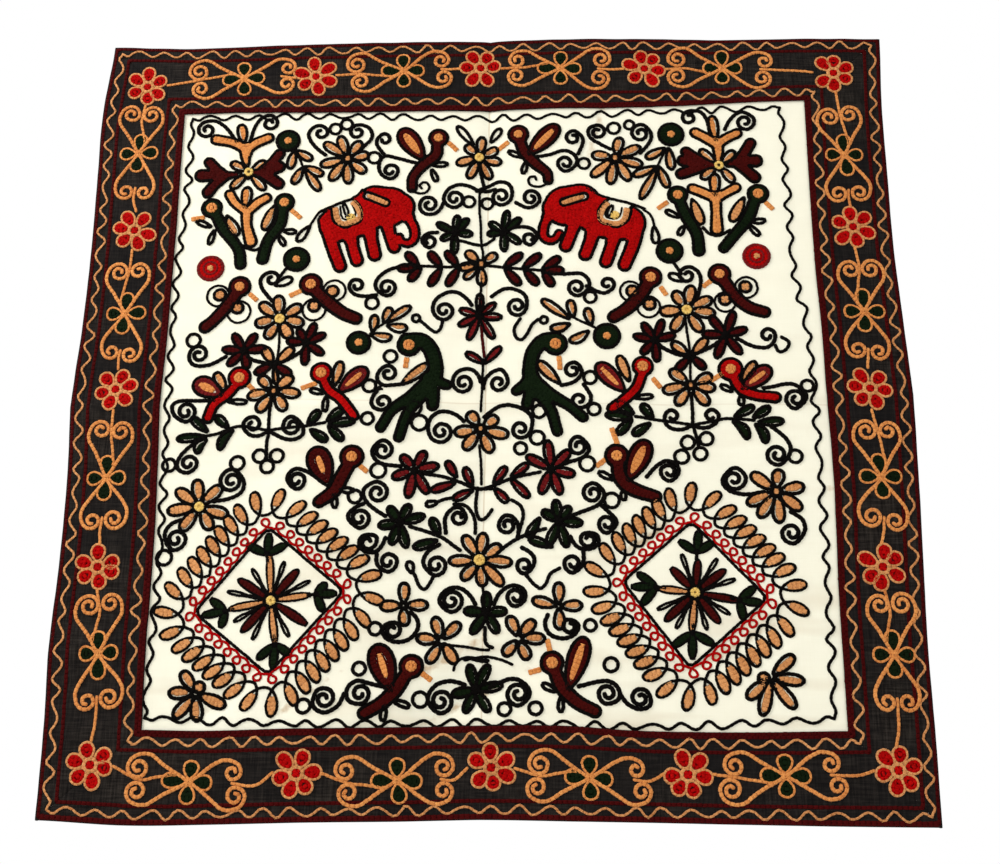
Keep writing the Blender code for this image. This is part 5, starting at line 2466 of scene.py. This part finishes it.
@dataclass(frozen=True)
class BorderVine(Motif):
    """The vine of one side of the border: flowers, and crossings with four scrolls and four loops."""

    side: Side
    crossings: tuple[float, ...]
    flowers: tuple[float, ...]
    turns: tuple[float, ...]
    scroll_reach: float = 50.0
    scroll_aside: float = 11.5
    scroll_radius: float = 10.0
    flower_dye: Dye = Dye.RED
    line_dye: Dye = Dye.AMBER
    petal_line: float = 2.9

    def sew(self, work: Needlework) -> None:
        """Sews the side's crossings, stems and flowers.

        Args:
            work: the embroidery that it is sewn into
        """
        crossings, flowers = spots(*self.crossings), spots(*self.flowers)
        for index, crossing in enumerate(crossings):
            self.sew_crossing(work, crossing, flowers[index], flowers[index + 1], index)
        skip = 0 if self.side.level else 1
        for index in range(skip, len(flowers) - skip):
            self.sew_flower(work, flowers[index], self.turns[index])

    def sew_crossing(
        self, work: Needlework, centre: np.ndarray, before: np.ndarray, after: np.ndarray, index: int
    ) -> None:
        """Sews one crossing with its scrolls and its loops, and the stems to the flowers.

        Args:
            work: the embroidery that it is sewn into
            centre: the crossing
            before: the flower before it
            after: the flower after it
            index: which crossing of the side it is
        """
        along = unit(after - before)
        aside = np.array((-along[1], along[0]))

        def at(forward: float, sideways: float) -> np.ndarray:
            """A place by the crossing, in millimetres along the border and aside."""
            return centre + (along * forward + aside * sideways) * MM

        for end in (-1, 1):
            for hand in (-1, 1):
                shift = work.wobble(1.0)
                radius = self.scroll_radius + 0.8 * shift[0] + (0.8 if end < 0 else -0.3)
                middle = self.scroll_reach + 2.0 * shift[1] + (2 if end < 0 else -2)
                away = self.scroll_aside + 0.7 * shift[0]
                tail = np.array((
                    at(end * (middle + radius), hand * away),
                    at(end * (middle + radius * 0.55), hand * (away + radius * 0.95)),
                    at(end * (middle - 10), hand * (away + radius + 3.0)),
                    at(end * (middle - 26), hand * (away + 3.5)),
                    at(end * 8, hand * 4.5),
                    at(0, 0),
                ))
                line = coil(at(end * middle, hand * away), radius * MM, tail, 6.8 * MM, 2.2 * MM)
                work.line(self.line_dye, line, 4.2 * MM)
        for reach, forward, sideways in ((25, -1, 0), (24, 1, 0), (21, 0, -1), (21, 0, 1)):
            drift = work.wobble(1.2 * MM)
            work.petal(
                Dye.GREEN,
                at(forward * 2.5, sideways * 2.5),
                at(forward * reach, sideways * reach) + drift,
                14.5 * MM,
                self.line_dye,
                blunt=0.8,
                edge_width=self.petal_line * MM,
            )
        bow = 6.0 if index % 2 else -6.0
        near = before + along * 24 * MM
        span = np.dot(centre - near, along) / MM
        stem = (near, at(-span * 0.66, bow * 0.1), at(-span * 0.42, bow * 0.6), at(-12, bow), at(0, 0))
        work.line(self.line_dye, smooth(np.array(stem)), 3.3 * MM)
        far = after - along * 24 * MM
        span = np.dot(far - centre, along) / MM
        stem = (far, at(span * 0.8, 1.0), at(self.scroll_reach - 6, 0.0))
        work.line(self.line_dye, smooth(np.array(stem)), 3.3 * MM)

    def sew_flower(self, work: Needlework, centre: np.ndarray, turn: float) -> None:
        """Sews a flower: six petals round a small one.

        Args:
            work: the embroidery that it is sewn into
            centre: its middle
            turn: slope of its first petal in degrees
        """
        for petal in range(6):
            angle = math.radians(turn + petal * 60) + work.wobble(0.10)[0]
            way = np.array((math.cos(angle), math.sin(angle)))
            reach = (24.5 + work.wobble(1.2)[1]) * MM
            base, tip, width = centre + way * 6.0 * MM, centre + way * reach, 14.4 * MM
            work.petal(self.flower_dye, base, tip, width, Dye.ORANGE, 0.4, edge_width=self.petal_line * MM)
        work.disc(self.flower_dye, centre, 6.2 * MM, Dye.ORANGE)


@dataclass(frozen=True)
class BorderLines(Motif):
    """The straight maroon lines along one side of the border, and the orange waves beside them."""

    cloth: HungCloth
    side: Side
    outer_wave: float = 10.0
    outer_band: float = 18.5
    inner_band: float = 20.5
    inner_wave: float = 12.0
    seam_band: float = 2.2

    def along(self, from_outer: float | None, from_seam: float | None) -> np.ndarray:
        """A line along the side, at a distance in millimetres from its outer edge or from its seam.

        Args:
            from_outer: the distance from the outer edge, or None
            from_seam: the one from the seam, or None
        Returns:
            the line's points
        """
        width = 90.0 if self.side.name == "right" else 92.0
        share = from_outer / width if from_outer is not None else 1 - from_seam / width
        return np.array([self.cloth.on_side(self.side, s, share) for s in np.linspace(0, 1, 140)])

    def sew(self, work: Needlework) -> None:
        """Sews the lines.

        Args:
            work: the embroidery that it is sewn into
        """
        work.line(Dye.ORANGE, waved(self.along(self.outer_wave, None), 28.5 * MM, 3.8 * MM), 2.6 * MM)
        work.line(Dye.ORANGE, waved(self.along(None, self.inner_wave), 28.0 * MM, 4.0 * MM), 2.6 * MM)
        for line in (self.along(self.outer_band, None), self.along(None, self.inner_band)):
            work.sew(Dye.MAROON, line, pitch=0.0052, width=0.0044, lift=-0.0006)
        for place in (self.seam_band, self.seam_band + 3.0):
            work.sew(
                Dye.MAROON, self.along(None, place), pitch=0.0056, width=0.0044, lift=-0.0006, back=False
            )
        low = self.side.name == "bottom"
        place, width = (3.6, 0.0060) if low else (3.0, 0.0040)
        work.sew(Dye.MAROON, self.along(place, None), pitch=0.0056, width=width, lift=-0.0006, back=False)


BORDER_VINES = (
    BorderVine(
        SIDES[0], (-296, 45, -106, 37, 79, 35, 269, 38),
        (-411, 55, -210, 44, -15, 33, 178, 37, 398, 46),
        (-90, 20, 0, 10, -25),
    ),
    BorderVine(
        SIDES[1], (404, 154, 414, 348, 419, 539, 419, 729),
        (398, 46, 408, 245, 414, 439, 414, 637, 415, 845),
        (0, 20, 5, 30, 0),
    ),
    BorderVine(
        SIDES[2], (-300, 861, -88, 858, 107, 854, 303, 851),
        (-403, 845, -190, 852, 7, 844, 206, 850, 415, 845),
        (15, -10, 25, 5, -15),
    ),
    BorderVine(
        SIDES[3], (-414, 144, -412, 346, -415, 539, -405, 731),
        (-411, 55, -410, 243, -414, 437, -415, 638, -403, 845),
        (0, 12, -12, 22, 0),
    ),
)


@dataclass(frozen=True)
class Sheets:
    """The cotton sheets: the centre panel and the four mitred border strips."""

    cloth: HungCloth
    panel_thickness: float = 0.0012
    border_thickness: float = 0.0012
    hem_thickness: float = 0.0024
    hem_width: float = 0.012
    lap: float = 0.008
    layer_gap: float = 0.0008
    mitre_dip: float = 0.0009
    stitched_dip: float = 0.00035
    edge_roll: float = 0.0006
    pitch: float = 0.0052
    crease_stations: tuple[float, ...] = (-0.016, -0.010, -0.006, -0.003, 0.0, 0.003, 0.006, 0.010, 0.016)
    panel_cut: tuple[float, float] = (0.745, 0.735)
    strip_width: float = 0.100

    @property
    def border_front(self) -> float:
        """How far the border's face lies before the panel's."""
        return self.layer_gap + self.border_thickness

    def stations(self, first: float, last: float, crease_at: float) -> list[float]:
        """Shares of the way between two places where points stand, closer at a pressed crease.

        Args:
            first: where the way starts
            last: where it ends
            crease_at: where the crease is
        Returns:
            the shares, in order
        """
        near = [crease_at - first + step for step in self.crease_stations]
        places = []
        for low, high in ((0.0, near[0]), (near[-1], last - first)):
            count = max(1, round((high - low) / self.pitch))
            places += [mix(low, high, step / count) for step in range(count + 1)]
        return [place / (last - first) for place in sorted(set(places) | set(near[1:-1]))]

    def columns_and_rows(self) -> tuple[list[float], list[float]]:
        """The shares along the seam's width and height where points stand.

        Returns:
            the shares across, and those down
        """
        top_left, _, bottom_right, _ = self.cloth.seam_corners
        return (
            self.stations(top_left.x, bottom_right.x, self.cloth.upright_crease.x),
            self.stations(top_left.down, bottom_right.down, self.cloth.level_crease.down),
        )

    @staticmethod
    def grid(name: str, columns: int, rows: int) -> tuple[bpy.types.Object, np.ndarray]:
        """A flat grid to be bent into a sheet.

        Args:
            name: its name
            columns: how many points it has across
            rows: how many points it has down
        Returns:
            the object, and each point's column and row
        """
        bpy.ops.object.select_all(action="DESELECT")
        bpy.ops.mesh.primitive_grid_add(x_subdivisions=columns - 1, y_subdivisions=rows - 1, size=1.0)
        sheet = bpy.context.object
        sheet.name = sheet.data.name = name
        flat = np.empty(len(sheet.data.vertices) * 3)
        sheet.data.vertices.foreach_get("co", flat)
        shares = flat.reshape(-1, 3)[:, :2] + 0.5
        return sheet, np.rint(shares * (columns - 1, rows - 1)).astype(int)

    def finish(
        self,
        sheet: bpy.types.Object,
        points: np.ndarray,
        cotton: PlainCotton,
        thickness: float,
        hem: list[int],
    ) -> None:
        """Bends a grid into its sheet, gives it its thickness and dresses it.

        Args:
            sheet: the grid's object
            points: where each of its points goes
            cotton: its finish
            thickness: its greatest thickness
            hem: the points of its thicker hem, if it has one
        """
        sheet.data.vertices.foreach_set("co", points.ravel())
        sheet.data.update()
        mesh = bmesh.new()
        mesh.from_mesh(sheet.data)
        bmesh.ops.recalc_face_normals(mesh, faces=mesh.faces)
        if sum(face.normal.y for face in mesh.faces) > 0:
            bmesh.ops.reverse_faces(mesh, faces=mesh.faces)
        mesh.to_mesh(sheet.data)
        mesh.free()
        if hem:
            group = sheet.vertex_groups.new(name="hem")
            group.add(hem, 1.0, "REPLACE")
        solid = sheet.modifiers.new("Thickness", "SOLIDIFY")
        solid.thickness = thickness
        solid.offset = -1.0
        if hem:
            solid.vertex_group = "hem"
            solid.thickness_vertex_group = self.border_thickness / self.hem_thickness
        bpy.ops.object.select_all(action="DESELECT")
        bpy.context.view_layer.objects.active = sheet
        sheet.select_set(True)
        bpy.ops.object.modifier_apply(modifier=solid.name)
        sheet.data.shade_smooth()
        sheet.data.set_sharp_from_angle(angle=math.radians(60))
        sheet.data.materials.clear()
        sheet.data.materials.append(dressed(cotton))
        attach(sheet, "root")
        LOG.info("%s: %d faces", sheet.name, len(sheet.data.polygons))

    def panel(self, cotton: PlainCotton) -> bpy.types.Object:
        """Makes the centre panel, whose edge runs in behind the border strips.

        Args:
            cotton: its cloth's finish
        Returns:
            the sheet
        """
        top_left, top_right, _, bottom_left = self.cloth.seam_corners
        width, height = top_right.x - top_left.x, bottom_left.down - top_left.down
        columns, rows = self.columns_and_rows()
        columns = [-self.lap / width, *columns, 1 + self.lap / width]
        rows = [-self.lap / height, *rows, 1 + self.lap / height]
        sheet, places = self.grid("ivory_panel", len(columns), len(rows))
        flat = np.array([self.cloth.on_panel(columns[column], rows[row]) for column, row in places])
        x, down = flat.T
        points = np.stack((x, self.cloth.depth(x, down), -down), 1)
        self.finish(sheet, points, cotton, self.panel_thickness, [])
        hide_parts("centre_panel")
        return sheet

    def strip(self, side: Side, cotton: PlainCotton) -> bpy.types.Object:
        """Makes one border strip, with its turned hem outside and mitred ends.

        Args:
            side: which side
            cotton: its cloth's finish
        Returns:
            the sheet
        """
        columns = self.columns_and_rows()[0 if side.level else 1]
        columns = [0.0, 0.002, 0.004, *columns[1:-1], 0.996, 0.998, 1.0]
        border = abs(self.cloth.seam_corners[side.start].down - self.cloth.outer_corners[side.start].down)
        body = np.linspace(self.hem_width + 0.003, border - self.lap, 11)
        hem = [0.0, 0.0015, 0.004, 0.008, self.hem_width, self.hem_width + 0.0015]
        across = [place / border for place in (*hem, *body, border - self.lap / 2, border)]
        sheet, places = self.grid(f"black_border_{side.name}", len(columns), len(across))
        flat = np.array([self.cloth.on_side(side, columns[column], across[row]) for column, row in places])
        x, down = flat.T
        from_edge = np.array([across[row] * border for _, row in places])
        stitched = self.stitched_dip * np.exp(-(((from_edge - self.hem_width - 0.0015) / 0.002) ** 2))
        rolled = self.edge_roll * np.exp(-from_edge / 0.0012)
        share = np.array([columns[column] for column, _ in places])
        seam_length = self.panel_cut[0] if side.level else self.panel_cut[1]
        from_mitre = np.minimum(share, 1 - share) * seam_length
        drawn_in = self.mitre_dip * np.exp(-from_mitre / 0.0013)
        depth = self.cloth.depth(x, down) - self.border_front + stitched + np.maximum(rolled, drawn_in)
        points = np.stack((x, depth, -down), 1)
        hemmed = self.hem_width + 1e-6
        thick = [index for index, (_, row) in enumerate(places) if across[row] * border <= hemmed]
        self.finish(sheet, points, cotton, self.hem_thickness, thick)
        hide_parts(f"border_{side.name}")
        return sheet


IVORY = PlainCotton(
    name="ivory_cotton_cloth",
    slot="ivory_cotton",
    light=(0.965, 0.945, 0.785),
    dark=(0.90, 0.865, 0.69),
    shade=(0.92, 0.875, 0.69),
    thread_pitch=0.0011,
    thread_depth=0.00012,
    roughness=0.9,
    sheen=0.03,
    slubs=900.0,
    contrast=1.0,
    patchy=0.5,
    pressed=0.85,
)
BLACK = PlainCotton(
    name="black_cotton_cloth",
    slot="black_cotton",
    light=(0.047, 0.038, 0.031),
    dark=(0.0022, 0.0014, 0.0010),
    shade=(0.0045, 0.0040, 0.0045),
    thread_pitch=0.0011,
    thread_depth=0.00016,
    roughness=0.85,
    sheen=0.0,
    slubs=640.0,
    contrast=2.5,
    patchy=0.85,
    pressed=0.0,
)


@dataclass(frozen=True)
class Studio:
    """The plain floor, the soft light and the camera."""

    camera_place: tuple[float, float, float] = (0.0731, -1.5388, -0.9904)
    look: tuple[float, float, float] = (-0.0374, 0.9496, 0.3112)
    right: tuple[float, float, float] = (0.9993, 0.0360, 0.0104)
    focal_pixels: float = 1488.0
    sensor: float = 36.0
    floor_down: float = 1.30
    sky: float = 0.53
    middle: tuple[float, float, float] = (0.0, 0.0, -0.45)

    def floor(self) -> None:
        """Makes the pale floor."""
        bpy.ops.object.select_all(action="DESELECT")
        bpy.ops.mesh.primitive_plane_add(size=9.0, location=(0.0, 0.0, -self.floor_down))
        floor = bpy.context.object
        floor.name = "studio_floor"
        pale = Finish("pale_floor")
        pale.wire("Base Color", (0.86, 0.86, 0.85, 1.0))
        pale.wire("Roughness", 0.9)
        floor.data.materials.append(pale.material)

    def light(self, name: str, place: tuple[float, float, float], size: float, power: float) -> None:
        """Hangs one soft light that faces the cloth's middle.

        Args:
            name: its name
            place: where it hangs
            size: its width
            power: its power in watts
        """
        bpy.ops.object.select_all(action="DESELECT")
        bpy.ops.object.light_add(type="AREA", location=place)
        lamp = bpy.context.object
        lamp.name = name
        lamp.data.shape = "SQUARE"
        lamp.data.size = size
        lamp.data.energy = power
        lamp.rotation_euler = (Vector(self.middle) - Vector(place)).to_track_quat("-Z", "Y").to_euler()

    def build(self) -> None:
        """Sets up the whole studio."""
        self.floor()
        world = bpy.data.worlds.new("soft_studio")
        bpy.context.scene.world = world
        world.use_nodes = True
        world.node_tree.nodes["Background"].inputs["Color"].default_value = (1.0, 1.0, 1.0, 1.0)
        seen = world.node_tree.nodes.new("ShaderNodeLightPath")
        strength = world.node_tree.nodes.new("ShaderNodeMath")
        strength.operation = "MULTIPLY_ADD"
        world.node_tree.links.new(seen.outputs["Is Camera Ray"], strength.inputs[0])
        strength.inputs[1].default_value = 1.0 - self.sky
        strength.inputs[2].default_value = self.sky
        world.node_tree.links.new(strength.outputs[0], world.node_tree.nodes["Background"].inputs["Strength"])
        self.light("key_light", (-1.7, -1.1, 0.9), 1.1, 46.0)
        self.light("fill_light", (1.6, -2.2, -0.2), 1.8, 14.0)
        self.light("back_light", (0.3, 2.2, 0.6), 1.8, 30.0)
        camera_data = bpy.data.cameras.new("photo_camera")
        camera_data.sensor_fit = "HORIZONTAL"
        camera_data.sensor_width = self.sensor
        camera_data.lens = self.focal_pixels / FRAME_WIDTH * self.sensor
        camera_data.clip_start = 0.01
        camera = bpy.data.objects.new("photo_camera", camera_data)
        bpy.context.scene.collection.objects.link(camera)
        ahead = Vector(self.look).normalized()
        right = Vector(self.right)
        right = (right - ahead * right.dot(ahead)).normalized()
        up = right.cross(ahead)
        turn = Matrix((right, up, -ahead)).transposed().to_4x4()
        camera.matrix_world = Matrix.Translation(self.camera_place) @ turn
        bpy.context.scene.camera = camera
        bpy.context.scene.view_settings.view_transform = "Standard"


def main() -> None:
    """Builds the hanging around its frame, piece by piece."""
    logging.basicConfig(level=logging.INFO, format="%(message)s")
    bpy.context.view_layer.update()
    cloth = HungCloth()
    sheets = Sheets(cloth)
    panel = sheets.panel(IVORY)
    strips = {side.name: sheets.strip(side, BLACK) for side in SIDES}
    middle = PATTERN_MIDDLE * MM
    assemblies = (
        ("scrolls_left", LEFT_SCROLLS, 11, None),
        ("scrolls_right", RIGHT_SCROLLS, 12, middle),
        ("flowers_left", LEFT_FLOWERS + LEFT_SPRAYS, 13, None),
        ("flowers_right", RIGHT_FLOWERS + RIGHT_SPRAYS, 14, middle),
        ("birds_left", LEFT_BIRDS, 15, None),
        ("birds_right", RIGHT_BIRDS, 16, middle),
        ("elephant_left", (LEFT_ELEPHANT,), 17, None),
        ("elephant_right", (RIGHT_ELEPHANT,), 18, middle),
        ("diamond_left", (LEFT_DIAMOND,), 19, None),
        ("diamond_right", (RIGHT_DIAMOND,), 20, middle),
        ("edge_wave", (WavyLine(PANEL_WAVE, Dye.BLACK, 3.3, 29.0, 3.2),), 21, None),
    )
    sewn = []
    for name, motifs, seed, mirror in assemblies:
        work = Needlework(name, seed, mirror)
        for motif in motifs:
            motif.sew(work)
        sewn += work.make(cloth, 0.0, sheets.panel_thickness)
    for index, (vine, side) in enumerate(zip(BORDER_VINES, SIDES)):
        work = Needlework(f"border_{side.name}_work", 30 + index)
        BorderLines(cloth, side).sew(work)
        vine.sew(work)
        pieces = work.make(cloth, sheets.border_front, sheets.border_thickness - sheets.border_front)
    Studio().build()


if __name__ == "__main__":
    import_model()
    main()
